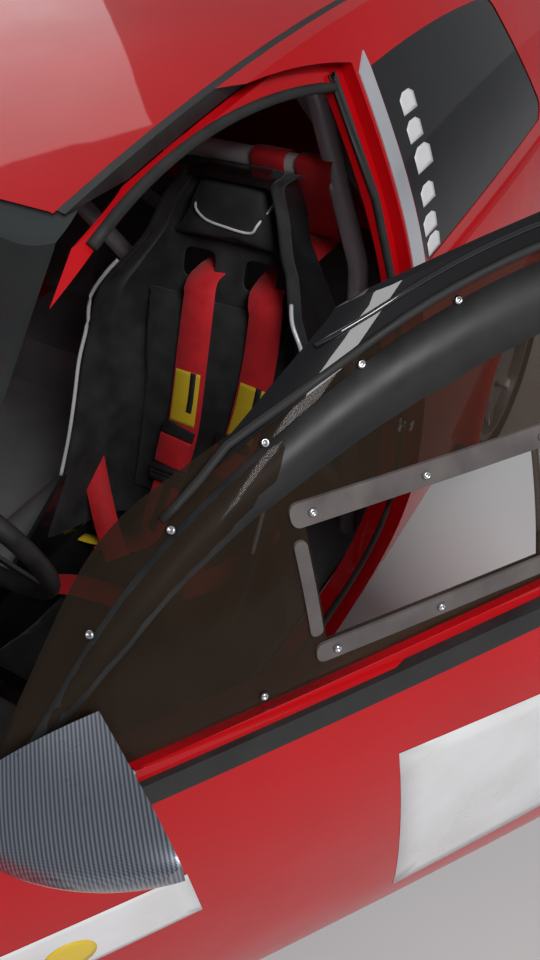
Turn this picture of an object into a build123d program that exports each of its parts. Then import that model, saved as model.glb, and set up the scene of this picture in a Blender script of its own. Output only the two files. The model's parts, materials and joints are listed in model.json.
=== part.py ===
"""A small three-door hatchback stripped and caged for slalom racing, with its left door open.

Frame: +X to the car's left, +Y to its tail, +Z up. The origin lies on the ground, below the centre of
the front axle. Millimetres and degrees.

The outer skin is one envelope: a stack of rounded plan outlines, cut from above by a crowned bonnet and
a crowned roof. Every panel is a piece of the wall between that envelope and smaller copies of it, cut
out along its own shut lines, so neighbours follow one surface.
"""

from build123d import *
import math
import os

# Overall sizes
WHEELBASE = 2385
TRACK_FRONT = 1352
TRACK_REAR = 1330
BODY_FOOT = 150       # height of the sills' lower edge
BELT_Z = 922          # height of the foot of the door window, 1 m behind the front axle
BELT_RISE = 2.6       # degrees that the foot of the window and its strip rise to the tail
FAR = 900             # half width of the blanks that cut the body

# Walls
WALL_LOW = 72         # doors and sides below the belt
WALL_HIGH = 42        # window frames, pillars and roof rails
LAYER_LOW = 30        # depth of the outer layer of a door, below the belt
LAYER_HIGH = 18       # the same in the window frame
PANEL = 22            # bonnet, wings, bumpers, roof
LENS = 46             # depth of headlamps and grille
GATE_LOW = 40         # tailgate below the belt
GATE_HIGH = 30        # tailgate above it
GATE_FLANGE = 28      # width of the flange that the tailgate closes on
SHUT = 6              # gap round doors and lids
WING_GAP = 7          # gap ahead of the doors
LIP = 14              # depth of the bumpers' hidden lips
LAP = 34              # how far the inner layer of a door stands back from its outline
SEAM = 0.3            # gap of pieces that seat on each other

# Glazing
GLASS = 4
GLASS_DEPTH = 9       # depth of the door windows below the skin
RAIL = 3              # thickness of the sliding window's rails
RAIL_H = 22
SLIDER_H = 124        # height of the sliding window's opening
SLIDER_W = 264
SLIDER_Y = 1008       # middle of that opening, measured on the shut door
SLIDER_Z = 1024
END_STOP = 14         # width of the stop ahead of that opening

# Wheels
TYRE_R = 284
TYRE_W = 190
RIM_R = 200
RIM_W = 172
RIM_WALL = 7
HUB_R = 70
SPINDLE_R = 30
RUNNING = 0.05        # radial clearance of the spindles
BOLT_CIRCLE = 108
BOLT_R = 6.5
SPOKES = 8
DISC_R = 130
ARCH_R = 322
FLARE_X = 794         # outer face of the arch flares
STEER_RANGE = 30

# Door
DOOR_FRONT = 385      # front shut line
DOOR_REAR = 1616
DOOR_FOOT = 262
DOOR_CORNER = 250     # radius of the lower rear corner
SAIL = (470, 930)     # lower end of the window frame's arc
DOOR_TOP = (1000, 1262)   # a point that the arc passes
DOOR_END = (1590, 1274)   # upper rear corner of the window frame
FRAME_BAND = 34       # visible width of the window frame
MOULDING_H = 26
MOULDING_T = 7
MOULDING_DROP = 14    # painted strip left between the moulding and the window
TRIM = 2.5            # thickness of the black strip on the pillar behind the door
HINGE_X = 768
HINGE_Y = DOOR_FRONT + 38
HINGE_Z = (400, 740)
PIN_R = 4
PIN_POCKET = 22       # half height of the pocket round a hinge arm
HINGE_POCKET = 74     # clear radius round the hinge axis
DOOR_OPEN = 34        # how far the left door stands open
DOOR_IN = 592         # the window frame stays outboard of this, beside the roof

# Lids and ends
BONNET_REAR = 352
BONNET_FOOT = 600     # the lid's front lip comes down to here
ROOF_HALF = 556
DITCH = 13
NOSE_END = -338       # where the front bumper meets the wing
TAIL_END = 2722       # where the rear bumper meets the side
BUMPER_TOP = 545
LAMP_IN = 352

# Inside
FLOOR_Z = 182
PLATE = 14
FIREWALL_Y = 300
KICK_Y = 1780         # where the floor steps up ahead of the rear axle
BOOT_Z = 350
RAIL_IN = 330         # inner face of the front side members
RAIL_W = 62
PIPE_X, PIPE_Z, PIPE_R = 330, 262, 28   # tail pipe
SEAT_X, SEAT_Y, SEAT_Z = 385, 1362, 300   # foot of the seat's back
SEAT_LEAN = 20
SEAT_PAN = 500        # length of the seat's pan
SEAT_TOP = 815        # length of its back with the head
SEAT_HIP = 236        # half width at the hips
SLOT_AT, SLOT_H = 590, 60     # foot and height of the belt slots, along the back
SLOT_OUT, SLOT_W = 70, 80
TUBE_R = 20
HOOP_Y = 1675
HOOP_TOP = 1246
BELT_BAR = 1070       # height of the tube across the hoop

# columns: height, half width at the front corners, amidships and at the rear corners, front end and
# rear end on the centreline, bow of the front and of the rear, radius of the front and rear corners
LOWER = [
    (BODY_FOOT, 650, 705, 660, -560, 2890, 90, 60, 130, 120),
    (330, 698, 768, 722, -672, 2978, 112, 70, 150, 130),
    (520, 716, 790, 742, -690, 3000, 114, 72, 150, 140),
    (700, 712, 793, 738, -668, 2990, 112, 70, 150, 140),
    (850, 690, 779, 716, -610, 2955, 100, 62, 150, 140),
    (960, 660, 745, 678, -560, 2905, 90, 55, 150, 140),
]
UPPER = [
    (832, 746, 762, 701, 222, 2966, 122, 60, 80, 110),
    (1080, 694, 706, 640, 595, 2850, 105, 60, 80, 110),
    (1262, 597, 630, 566, 880, 2700, 82, 55, 85, 110),
    (1420, 525, 560, 500, 1110, 2470, 70, 50, 85, 110),
]


# Tools
def block(x, y, z):
    """A box given by its three pairs of limits."""
    return Pos(sum(x) / 2, sum(y) / 2, sum(z) / 2) * Box(x[1] - x[0], y[1] - y[0], z[1] - z[0])


def polygon(*points):
    """A flat face through points."""
    return make_face(Polyline(*points, close=True).edges())


def side_blank(face, x0=0, x1=FAR):
    """A side view in (Y, Z) pushed outwards from x0 to x1."""
    return extrude(Plane.YZ.offset(x0) * face, amount=x1 - x0)


def front_blank(face, y0, y1):
    """A front view in (X, Z) pushed from y0 back to y1."""
    return extrude(Plane(origin=(0, y0, 0), x_dir=(1, 0, 0), z_dir=(0, -1, 0)) * face, amount=y0 - y1)


def top_blank(face, z0, z1):
    """A plan view in (X, Y) pushed from z0 up to z1."""
    return extrude(Plane.XY.offset(z0) * face, amount=z1 - z0)


def rod(start, end, radius, bore=0):
    """A straight round bar or pipe from start to end."""
    plane = Plane(origin=start, z_dir=Vector(*end) - Vector(*start))
    length = (Vector(*end) - Vector(*start)).length
    bar = extrude(plane * Circle(radius), amount=length)
    return bar - extrude(plane * Circle(bore), amount=length) if bore else bar


def tube(points, radius, bend):
    """A round bar through points, with rounded bends."""
    path = FilletPolyline(*points, radius=bend)
    return sweep(Plane(origin=path @ 0, z_dir=path % 0) * Circle(radius), path=path)


def mirrored(part):
    """The same piece on the other side of the car."""
    return Compound(children=[mirror(solid, about=Plane.YZ) for solid in part.solids()])


def largest(part):
    """The biggest of the solids that a cut leaves."""
    return max(part.solids(), key=lambda s: s.volume)


def grown(face, by):
    """An outline moved out, or in where by is negative."""
    return offset(face, amount=by, kind=Kind.ARC if by > 0 else Kind.INTERSECTION)


# Envelope
def plan_outline(row, inset):
    """One rounded plan outline of the body, drawn in by inset."""
    z, half_front, half_mid, half_rear, front, rear, bow_front, bow_rear, r_front, r_rear = row
    half_front, half_mid, half_rear = half_front - inset, half_mid - inset, half_rear - inset
    front, rear = front + inset, rear - inset
    middle = (front + rear) / 2
    nose_left, nose_right = (half_front, front + bow_front), (-half_front, front + bow_front)
    tail_left, tail_right = (half_rear, rear - bow_rear), (-half_rear, rear - bow_rear)
    face = make_face([
        ThreePointArc(nose_right, (0, front), nose_left),
        ThreePointArc(nose_left, (half_mid, middle), tail_left),
        ThreePointArc(tail_left, (0, rear), tail_right),
        ThreePointArc(tail_right, (-half_mid, middle), nose_right),
    ])
    face = fillet([v for v in face.vertices() if v.Y < middle - 300], r_front)
    face = fillet([v for v in face.vertices() if v.Y > middle + 300], r_rear)
    return Plane.XY.offset(z) * face


def crowned(profile, inset):
    """A blank across the car whose top follows profile, lower towards the sides."""
    return loft([
        Plane(origin=(x, 0, 0), x_dir=(0, 1, 0), z_dir=(1, 0, 0)) * profile((x / FAR) ** 2, inset)
        for x in (-FAR, 0, FAR)
    ])


def bonnet_profile(share, inset):
    """Side view below the bonnet and the belt: it falls 62 at the blank's edge."""
    drop = -62 * share - inset
    nose, cowl = (-640, 676 + drop), (360, 950 + drop)
    rest = Polyline(nose, (-FAR, 560 + drop), (-FAR, -100), (3200, -100), (3200, 950 + drop), cowl)
    return make_face([ThreePointArc(cowl, (-150, 860 + drop), nose), *rest.edges()])


def roof_profile(share, inset):
    """Side view below the roof: it falls 108 at the blank's edge."""
    drop = -108 * share - inset
    front, rear = (500, 1180 + drop), (3000, 1235 + drop)
    rest = Polyline(rear, (3000, 700), (500, 700), front)
    return make_face([ThreePointArc(front, (1450, 1372 + drop), rear), *rest.edges()])


def cabin(inset):
    """The glazed upper half of the envelope."""
    return loft([plan_outline(row, inset) for row in UPPER]) & crowned(roof_profile, inset)


def envelope(low, high):
    """The whole body as one solid, drawn in by low below the belt and by high above it."""
    hull = loft([plan_outline(row, low) for row in LOWER]) & crowned(bonnet_profile, low)
    return hull + cabin(high)


SKIN = envelope(0, 0)                                    # outer surface
BACK = envelope(LAYER_LOW, LAYER_HIGH)                   # back of a door's outer layer
STOP = envelope(LAYER_LOW + SHUT, LAYER_HIGH + SHUT)     # face that a shut door stays clear of
LINING = envelope(WALL_LOW, WALL_HIGH)                   # inside of the walls
UNDER = envelope(PANEL, PANEL)                           # inside of thin panels
LEDGE = envelope(LIP, LIP)                               # front of the bumpers' hidden lips
LEFT_WALL = (SKIN & block((300, FAR), (DOOR_FRONT - WING_GAP + SEAM, 3100), (0, 1500))) - LINING
SHEET = SKIN - UNDER
LIP_SHEET = LEDGE - UNDER


# Outlines
def door_outline():
    """Side view of a shut door with its window frame."""
    edge = Polyline(SAIL, (DOOR_FRONT, BELT_Z - 40), (DOOR_FRONT, DOOR_FOOT), (DOOR_REAR, DOOR_FOOT),
                    DOOR_END)
    face = make_face([ThreePointArc(DOOR_END, DOOR_TOP, SAIL), *edge.edges()])
    face = fillet([v for v in face.vertices() if v.X > 1500 and v.Y < 400], DOOR_CORNER)
    return fillet([v for v in face.vertices() if v.X < 400 and v.Y < 400], 45)


def quarter_outline():
    """Side view of the fixed window behind the door."""
    edge = Polyline((2240, 1248), (2492, 955), (1668, 936), (1648, 1262))
    face = make_face([ThreePointArc((1648, 1262), (1950, 1268), (2240, 1248)), *edge.edges()])
    face = fillet([v for v in face.vertices() if v.X > 2200 and v.Y > 1200], 90)
    return fillet([v for v in face.vertices() if v.Y < 1000], 28)


def cross_outline(top, belt, foot, crown, radius):
    """Front or rear view of a window or lid; each corner is a half width and a height."""
    edge = Polyline(top, belt, foot, (-foot[0], foot[1]), (-belt[0], belt[1]), (-top[0], top[1]))
    face = make_face([ThreePointArc((-top[0], top[1]), (0, top[1] + crown), top), *edge.edges()])
    return fillet(face.vertices(), radius)


DOOR = door_outline()
DOOR_WINDOW = grown(DOOR, -FRAME_BAND) & (
    Pos(1000, BELT_Z) * Rot(0, 0, BELT_RISE) * Pos(0, 500) * Rectangle(3000, 1000))
QUARTER = quarter_outline()
SCREEN = cross_outline((574, 1262), (656, 1060), (690, 948), 34, 40)
TAIL = cross_outline((500, 1268), (612, 905), (560, 548), 32, 45)
TAIL_GLASS = cross_outline((452, 1232), (508, 1080), (556, 948), 30, 38)
BONNET = polygon((-560, -FAR), (-560, -300), (-655, BONNET_REAR), (655, BONNET_REAR), (560, -300),
                 (560, -FAR))
TAIL_LAMP = fillet(polygon((624, 880), (720, 860), (700, 620), (590, 620)).vertices(), 16)


# Wheel arches
def arch_cut(y, side=1):
    """What a wheel arch takes out of one side."""
    return Pos(side * FAR, y, TYRE_R) * Rot(0, 90, 0) * Cylinder(ARCH_R, 2 * (FAR - 420))


def flare(y):
    """The swollen lip round an arch."""
    width, depth = 26, 110
    ring = Cylinder(ARCH_R + width, depth) - Cylinder(ARCH_R, depth + 2)
    rim = max(ring.edges().filter_by(GeomType.CIRCLE).sort_by(Axis.Z)[-2:], key=lambda e: e.radius)
    ring = Pos(FLARE_X - depth / 2, y, TYRE_R) * Rot(0, 90, 0) * fillet(rim, 12)
    return (ring & block((0, FAR), (y - 400, y + 400), (TYRE_R - 25, 700))) - UNDER


# Body panels
def side_frame():
    """Left body side: pillars, roof rail, sill and rear quarter in one pressing."""
    side = LEFT_WALL + flare(WHEELBASE)
    side = side - (side_blank(grown(DOOR, SHUT)) - STOP) - side_blank(grown(DOOR, -LAP))
    for cut in (
        side_blank(QUARTER),
        front_blank(SCREEN, 100, 1200),
        block((0, 652), (0, 560), (700, 948)),
        block((0, ROOF_HALF + DITCH), (200, 3200), (1100, 1500)),
        front_blank(grown(TAIL, SHUT), 2300, 3100) - GATE_STOP,
        front_blank(grown(TAIL, -GATE_FLANGE), 2300, 3100),
        block((0, FAR), (TAIL_END - SHUT, 3100), (0, BUMPER_TOP + SHUT)),
        arch_cut(WHEELBASE),
        front_blank(TAIL_LAMP, 2780, 3100),
        Pos(HINGE_X, HINGE_Y, 600) * Cylinder(HINGE_POCKET, 2 * (600 - DOOR_FOOT + SHUT)),
    ):
        side = side - cut
    pillar = block((654, 694), (DOOR_FRONT - WING_GAP + SEAM, DOOR_FRONT + LAP), (160, 866)) & UNDER
    side = side + pillar
    for z in HINGE_Z:
        side = side + block((672, 700), (DOOR_FRONT + 24, HINGE_Y - 2), (z - 16, z + 16))
        side = side + block((690, HINGE_X), (HINGE_Y - 3, HINGE_Y + 4), (z - 16, z + 16))
        side = side + Pos(HINGE_X, HINGE_Y, z) * Cylinder(PIN_R, 2 * (PIN_POCKET + 14))
    return largest(side)


def roof_panel():
    """Roof skin with its front and rear headers."""
    roof = SHEET & block((-ROOF_HALF, ROOF_HALF), (700, 2800), (1150, 1500))
    return largest(roof - front_blank(SCREEN, 100, 1200) - front_blank(grown(TAIL, SHUT), 2300, 3100))


def roof_moulding():
    """Black strip in the ditch between the roof and the left side."""
    strip = block((ROOF_HALF + SEAM, ROOF_HALF + DITCH - SEAM), (990, 2560), (1150, 1500)) & SHEET
    return largest(strip - front_blank(Pos(8, 0) * SCREEN, 100, 1200)
                   - front_blank(grown(TAIL, SHUT), 2300, 3100))


def bonnet():
    """Engine lid, hinged at its rear edge."""
    return largest(SHEET & (top_blank(BONNET, BONNET_FOOT, 1000)
                            & block((-FAR, FAR), (-FAR, BONNET_REAR), (BONNET_FOOT, 1000))))


def front_wing():
    """Left front wing."""
    rear = DOOR_FRONT - WING_GAP
    wing = (SHEET & block((200, FAR), (-FAR, rear), (200, 1000))) + flare(0)
    wing = wing + ((UNDER & block((640, FAR), (rear - 12, rear), (200, 930))) - LINING)
    for cut in (
        top_blank(grown(BONNET, SHUT), BONNET_FOOT - SHUT, 1000),
        block((0, FAR), (-FAR, NOSE_END), (0, BUMPER_TOP + SHUT)),
        block((0, FAR), (-FAR, -430), (0, 720)),
        block((0, 662), (BONNET_REAR - 20, 400), (700, 1000)),
        arch_cut(0),
    ):
        wing = wing - cut
    return largest(wing)


def scuttle():
    """Black panel between the bonnet and the windscreen."""
    half = 652 - SEAM
    panel = (SKIN & block((-half, half), (BONNET_REAR + 16, 640), (840, 1000))) - NOSE_BACK
    gutter = (Pos(0, 0, -6) * UNDER) & block((-half, half), (320, BONNET_REAR + 30), (840, 1000))
    rest = (Pos(0, 0, -SEAM) * UNDER) & block((-half, half), (320, BONNET_REAR - 12), (840, 1000))
    panel = panel + (gutter + rest - NOSE_BACK)
    return largest(panel - front_blank(Pos(0, -SEAM) * SCREEN, 100, 1200))


def bumper_front():
    """Front bumper with its intake and lamp holes."""
    skin = SHEET & block((-FAR, FAR), (-FAR, NOSE_END - SHUT), (0, BUMPER_TOP))
    lip = block((-FAR, -400), (-FAR, NOSE_END - SEAM), (0, BUMPER_TOP))
    skin = skin + (LIP_SHEET & (lip + mirrored(lip)))
    for cut in (
        front_blank(Pos(0, 300) * RectangleRounded(760, 130, 30), -FAR, -300),
        front_blank(Pos(0, 455) * RectangleRounded(420, 44, 18), -FAR, -300),
        front_blank(Pos(505, 310) * Circle(56), -FAR, -300),
        front_blank(Pos(-505, 310) * Circle(56), -FAR, -300),
        arch_cut(0),
        arch_cut(0, -1),
    ):
        skin = skin - cut
    return largest(skin)


def bumper_rear():
    """Rear bumper."""
    skin = SHEET & block((-FAR, FAR), (TAIL_END, 3100), (200, BUMPER_TOP))
    lip = block((400, FAR), (TAIL_END - SHUT + SEAM, 3100), (200, BUMPER_TOP))
    lip = lip + block((600, FAR), (TAIL_END, 3100), (200, BUMPER_TOP + SHUT - SEAM))
    skin = skin + (LIP_SHEET & (lip + mirrored(lip)))
    skin = skin - arch_cut(WHEELBASE) - arch_cut(WHEELBASE, -1)
    return largest(skin - rod((PIPE_X, 2700, PIPE_Z), (PIPE_X, 3100, PIPE_Z), PIPE_R + 12))


def nose_band(x0, x1):
    """The band of the nose between bumper and bonnet, from x0 to x1."""
    band = block((x0, x1), (-FAR, -432), (BUMPER_TOP + SEAM, 720)) & SKIN
    return largest(band - NOSE_BACK - top_blank(grown(BONNET, SHUT), BONNET_FOOT - SHUT, 1000))


def grille():
    """Slatted panel between the headlamps."""
    slots = [block((-320, 320), (-FAR, -600), (z, z + 10)) for z in (556, 574)]
    return largest(nose_band(SEAM - LAMP_IN, LAMP_IN - SEAM) - slots)


def tailgate():
    """Tailgate without its window."""
    gate = (front_blank(TAIL, 2300, 3100) & SKIN) - GATE_BACK
    return largest(gate - front_blank(TAIL_GLASS, 2300, 3100))


def pane(blank, depth, thick):
    """A sheet that follows the cabin's skin at a depth below it."""
    return largest((blank & cabin(depth)) - cabin(depth + thick))


NOSE_BACK = envelope(LENS, LENS)
GATE_BACK = envelope(GATE_LOW, GATE_HIGH)
GATE_STOP = envelope(GATE_LOW + SEAM, GATE_HIGH + SEAM) & block((0, FAR), (2300, 3100), (0, 1150))


# columns: distance from the car's middle, middle of the section along and up, half length, half height
MIRROR = [
    (742, 652, 942, 168, 62),
    (820, 656, 955, 130, 56),
    (875, 660, 972, 70, 36),
    (902, 662, 984, 16, 12),
]


# Door
def door_panel():
    """Left door, shut, with its window frame and two-layer edge."""
    wall = LEFT_WALL & block((500, FAR), (DOOR_FRONT, 1700), (0, 1500))
    for cut in (
        front_blank(Pos(14, 0) * SCREEN, 100, 1200),
        block((0, 655), (0, 560), (700, 1000)),
        block((0, DOOR_IN), (0, 1700), (1100, 1500)),
    ):
        wall = wall - cut
    door = ((wall & side_blank(DOOR)) - BACK) + ((wall & side_blank(grown(DOOR, -LAP - SHUT))) & BACK)
    for z in HINGE_Z:
        door = door - block((690, HINGE_X + PIN_R + 1), (0, HINGE_Y + 9), (z - PIN_POCKET, z + PIN_POCKET))
        door = door - Pos(HINGE_X, HINGE_Y, z) * Cylinder(PIN_R + SEAM, 2 * (PIN_POCKET + 16))
    return largest(door - side_blank(DOOR_WINDOW))


def slider_opening():
    """Side view of the opening in the left window."""
    return Pos(SLIDER_Y, SLIDER_Z) * Rectangle(SLIDER_W, SLIDER_H)


def slider_rails():
    """Two rails and an end stop on the left window, and the sliding pane run back in them."""
    place = Pos(SLIDER_Y, SLIDER_Z)
    rail_w = 2 * SLIDER_W + END_STOP
    views = [
        place * Pos((SLIDER_W - END_STOP) / 2, s * (SLIDER_H + RAIL_H) / 2) * RectangleRounded(
            rail_w, RAIL_H, 9)
        for s in (-1, 1)
    ]
    views.append(place * Pos(-SLIDER_W / 2 - 10, 0) * RectangleRounded(END_STOP, SLIDER_H - 24, 6))
    outer, inner = cabin(GLASS_DEPTH - RAIL), cabin(GLASS_DEPTH - SEAM / 2)
    room = grown(DOOR_WINDOW, -3)
    return [largest((side_blank(view & room) & outer) - inner) for view in views]


def moulding_view():
    """Side view of the strip at the foot of the window."""
    return Pos(1000, BELT_Z) * Rot(0, 0, BELT_RISE) * Pos(40, -MOULDING_DROP - MOULDING_H / 2) * Rectangle(
        1130, MOULDING_H)


def door_moulding():
    """Black rubber strip along the foot of the door's window."""
    strip = side_blank(moulding_view(), 600, FAR) & envelope(-MOULDING_T, -MOULDING_T)
    return largest(strip - SKIN - block((0, FAR), (0, 500), (0, 1000)))


def pillar_trim():
    """Black strip on the left pillar between the door and the fixed window, pointed at its top."""
    view = polygon((1610, 928), (1661, 928), (1643, 1262), (1638, 1286), (1604, 1262))
    return largest((side_blank(view) & cabin(-TRIM - SEAM)) - cabin(-SEAM))


def mirror_shell():
    """Door mirror: a pod that sweeps forward from a slanting rear rim, on the window's front corner."""
    pod = loft([
        Plane(origin=(x, y, z), x_dir=(0, 1, 0), z_dir=(1, 0, 0)) * Ellipse(length, height)
        for x, y, z, length, height in MIRROR
    ])
    rim = polygon((700, 636), (950, 665), (950, 900), (700, 900))
    strip = side_blank(grown(moulding_view(), SEAM), 600, FAR) & envelope(-MOULDING_T - 1, -MOULDING_T - 1)
    return largest(pod - top_blank(rim, 0, 1200) - SKIN - strip)


def swing(part):
    """Turns a piece of the shut left door outwards about its hinge."""
    return part.rotate(Axis((HINGE_X, HINGE_Y, 0), (0, 0, 1)), -DOOR_OPEN)


# Wheels
def on_axle(part, x, y):
    """Places a wheel piece, made about Z with its face up, on the left of an axle."""
    return Pos(x, y, TYRE_R) * Rot(0, 90, 0) * part


def rim():
    """Spoked wheel with its hub and brake disc, about Z, outer face up."""
    half = RIM_W / 2
    barrel = polygon(
        (RIM_R + 11, half), (RIM_R + 11, half - 6), (RIM_R, half - 8), (RIM_R, half - 28),
        (RIM_R - 22, half - 48), (RIM_R - 22, 38 - half), (RIM_R, 22 - half), (RIM_R, 8 - half),
        (RIM_R + 11, 6 - half), (RIM_R + 11, -half), (RIM_R - RIM_WALL, -half),
        (RIM_R - RIM_WALL, 24 - half), (RIM_R - 22 - RIM_WALL, 40 - half),
        (RIM_R - 22 - RIM_WALL, half - 50), (RIM_R - RIM_WALL, half - 30), (RIM_R - RIM_WALL, half),
    )
    wheel = revolve(Plane.XZ * barrel, Axis.Z)
    wheel = wheel + Pos(0, 0, 39) * Cylinder(HUB_R, 34)
    for n in range(SPOKES):
        spoke = loft([
            Plane(origin=(HUB_R - 14, 0, 40), x_dir=(0, 1, 0), z_dir=(1, 0, 0)) * RectangleRounded(46, 28, 6),
            Plane(origin=(RIM_R - 4, 0, 65), x_dir=(0, 1, 0), z_dir=(1, 0, 0)) * RectangleRounded(27, 14, 5),
        ])
        wheel = wheel + Rot(0, 0, n * 360 / SPOKES) * spoke
    for n in range(4):
        hole = Rot(0, 0, 45 + n * 90) * Pos(BOLT_CIRCLE / 2, 0, 40) * Cylinder(BOLT_R, 60)
        wheel = wheel - hole
    return wheel


def hub():
    """Hub, disc and spindle that turn with a front wheel, about Z, outer face up."""
    disc = Pos(0, 0, -4) * (Cylinder(DISC_R, 20) - Cylinder(DISC_R - 45, 22))
    bell = Pos(0, 0, 8) * (Cylinder(DISC_R - 44, 32) - Pos(0, 0, -6) * Cylinder(DISC_R - 52, 32))
    return disc + bell + Pos(0, 0, -18) * Cylinder(SPINDLE_R, 78)


def tyre():
    """Tyre about Z, hollow, its beads seated on the rim."""
    half, bead, flange = TYRE_W / 2, RIM_R + SEAM, RIM_W / 2 - 8 - SEAM
    outer = make_face([
        *Polyline((bead, flange), (bead + 11, flange + 2)).edges(),
        ThreePointArc((bead + 11, flange + 2), (bead + 44, half), (TYRE_R - 12, half - 12)),
        ThreePointArc((TYRE_R - 12, half - 12), (TYRE_R - 3, half - 20), (TYRE_R, half - 32)),
        *Polyline((TYRE_R, half - 32), (TYRE_R, 32 - half)).edges(),
        ThreePointArc((TYRE_R, 32 - half), (TYRE_R - 3, 20 - half), (TYRE_R - 12, 12 - half)),
        ThreePointArc((TYRE_R - 12, 12 - half), (bead + 44, -half), (bead + 11, -flange - 2)),
        *Polyline((bead + 11, -flange - 2), (bead, -flange), (bead, 36 - half), (bead + 14, 36 - half),
                  (bead + 34, 12 - half), (TYRE_R - 18, 24 - half), (TYRE_R - 13, 0),
                  (TYRE_R - 18, half - 24), (bead + 34, half - 12), (bead + 14, half - 36),
                  (bead, half - 36), (bead, flange)).edges(),
    ])
    return revolve(Plane.XZ * outer, Axis.Z)


# Running gear
BALL_LOW = Vector(604, 0, 196)       # lower ball joint of the left front wheel
STRUT_TOP = Vector(496, 0, 772)
WHEEL_X = TRACK_FRONT / 2
REAR_X = TRACK_REAR / 2


def knuckle():
    """Left hub carrier with its strut; all of it turns about the steering axis."""
    ring = Pos(WHEEL_X - 52, 0, TYRE_R) * Rot(0, 90, 0) * Cylinder(52, 30)
    def axis_point(share):
        return tuple(BALL_LOW + (STRUT_TOP - BALL_LOW) * share)

    leg = rod(axis_point(0.04), axis_point(0.2), 16)
    neck = rod(axis_point(0.29), axis_point(0.56), 20)
    damper = rod(axis_point(0.5), axis_point(0.86), 24)
    seat = rod(axis_point(0.70), axis_point(0.72), 56)
    top = rod(axis_point(0.965), axis_point(0.985), 56)
    core = rod(axis_point(0.72), axis_point(0.965), 26)
    bridge = block((575, WHEEL_X - 40), (-18, 18), (TYRE_R + 40, TYRE_R + 108))
    foot = block((590, WHEEL_X - 40), (-18, 18), (204, TYRE_R - 40))
    arm = block((WHEEL_X - 66, WHEEL_X - 42), (30, 130), (TYRE_R - 12, TYRE_R + 12))
    ball = Pos(*axis_point(8.3 / 576)) * Sphere(12)
    bearing = Pos(*axis_point((786 - SEAM - 20 - BALL_LOW.Z) / 576)) * Sphere(20)
    body = ring + leg + neck + damper + seat + top + core + bridge + foot + arm + ball + bearing
    bore = Pos(WHEEL_X - 52, 0, TYRE_R) * Rot(0, 90, 0) * Cylinder(SPINDLE_R + RUNNING, 90)
    return largest(body - bore - Pos(WHEEL_X - 100, 0, TYRE_R) * Rot(0, 90, 0) * Cylinder(46, 66))


def lower_arm():
    """Left lower wishbone, on its own cross member."""
    root = RAIL_IN + RAIL_W + SEAM
    arm = extrude(Plane.XY.offset(178) * polygon((BALL_LOW.X + 18, -16), (BALL_LOW.X + 18, 16), (root, 175),
                                                 (root, 130), (520, 20), (root, -48), (root, -92)), amount=14)
    return arm + Pos(BALL_LOW.X, 0, 185) * Cylinder(22, 14)


def drive_shaft():
    """Left drive shaft with its outer joint."""
    shaft = rod((RAIL_IN, 0, TYRE_R), (566, 0, TYRE_R), 13)
    return shaft + Pos(556, 0, TYRE_R) * Sphere(32) + rod((RAIL_IN, 0, TYRE_R), (RAIL_IN + 40, 0, TYRE_R), 36)


def rear_axle():
    """Cross tube with trailing arms and stub axles."""
    y = WHEELBASE - 262
    beam = rod((-520, y, 262), (520, y, 262), 42)
    for s in (-1, 1):
        beam = beam + rod((s * 500, y, 262), (s * 528, WHEELBASE - 20, TYRE_R), 30)
        beam = beam + rod((s * 500, WHEELBASE, TYRE_R), (s * (REAR_X - 62), WHEELBASE, TYRE_R), 56)
        beam = beam + rod((s * 520, WHEELBASE, TYRE_R), (s * (REAR_X + 50), WHEELBASE, TYRE_R), SPINDLE_R)
        beam = beam + block((s * 520 - 35, s * 520 + 35), (y - 60, y + 60), (262, BOOT_Z - SEAM))
    return beam


# Structure under the skin
LINING_CLEAR = envelope(WALL_LOW + SEAM, WALL_HIGH + SEAM) + block((-600, 600), (0, 2890), (150, 400))
HALF = 640            # half width of the floor
TUNNEL_R = 120
HOUSE_R = 342         # clear radius round the steering axis for a turned front wheel
HOUSE_TOP = 620


def front_house(radius):
    """What a front wheel housing takes of the firewall and the floor on the left."""
    return Pos(BALL_LOW.X, 0, HOUSE_TOP / 2) * Cylinder(radius, HOUSE_TOP)


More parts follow.
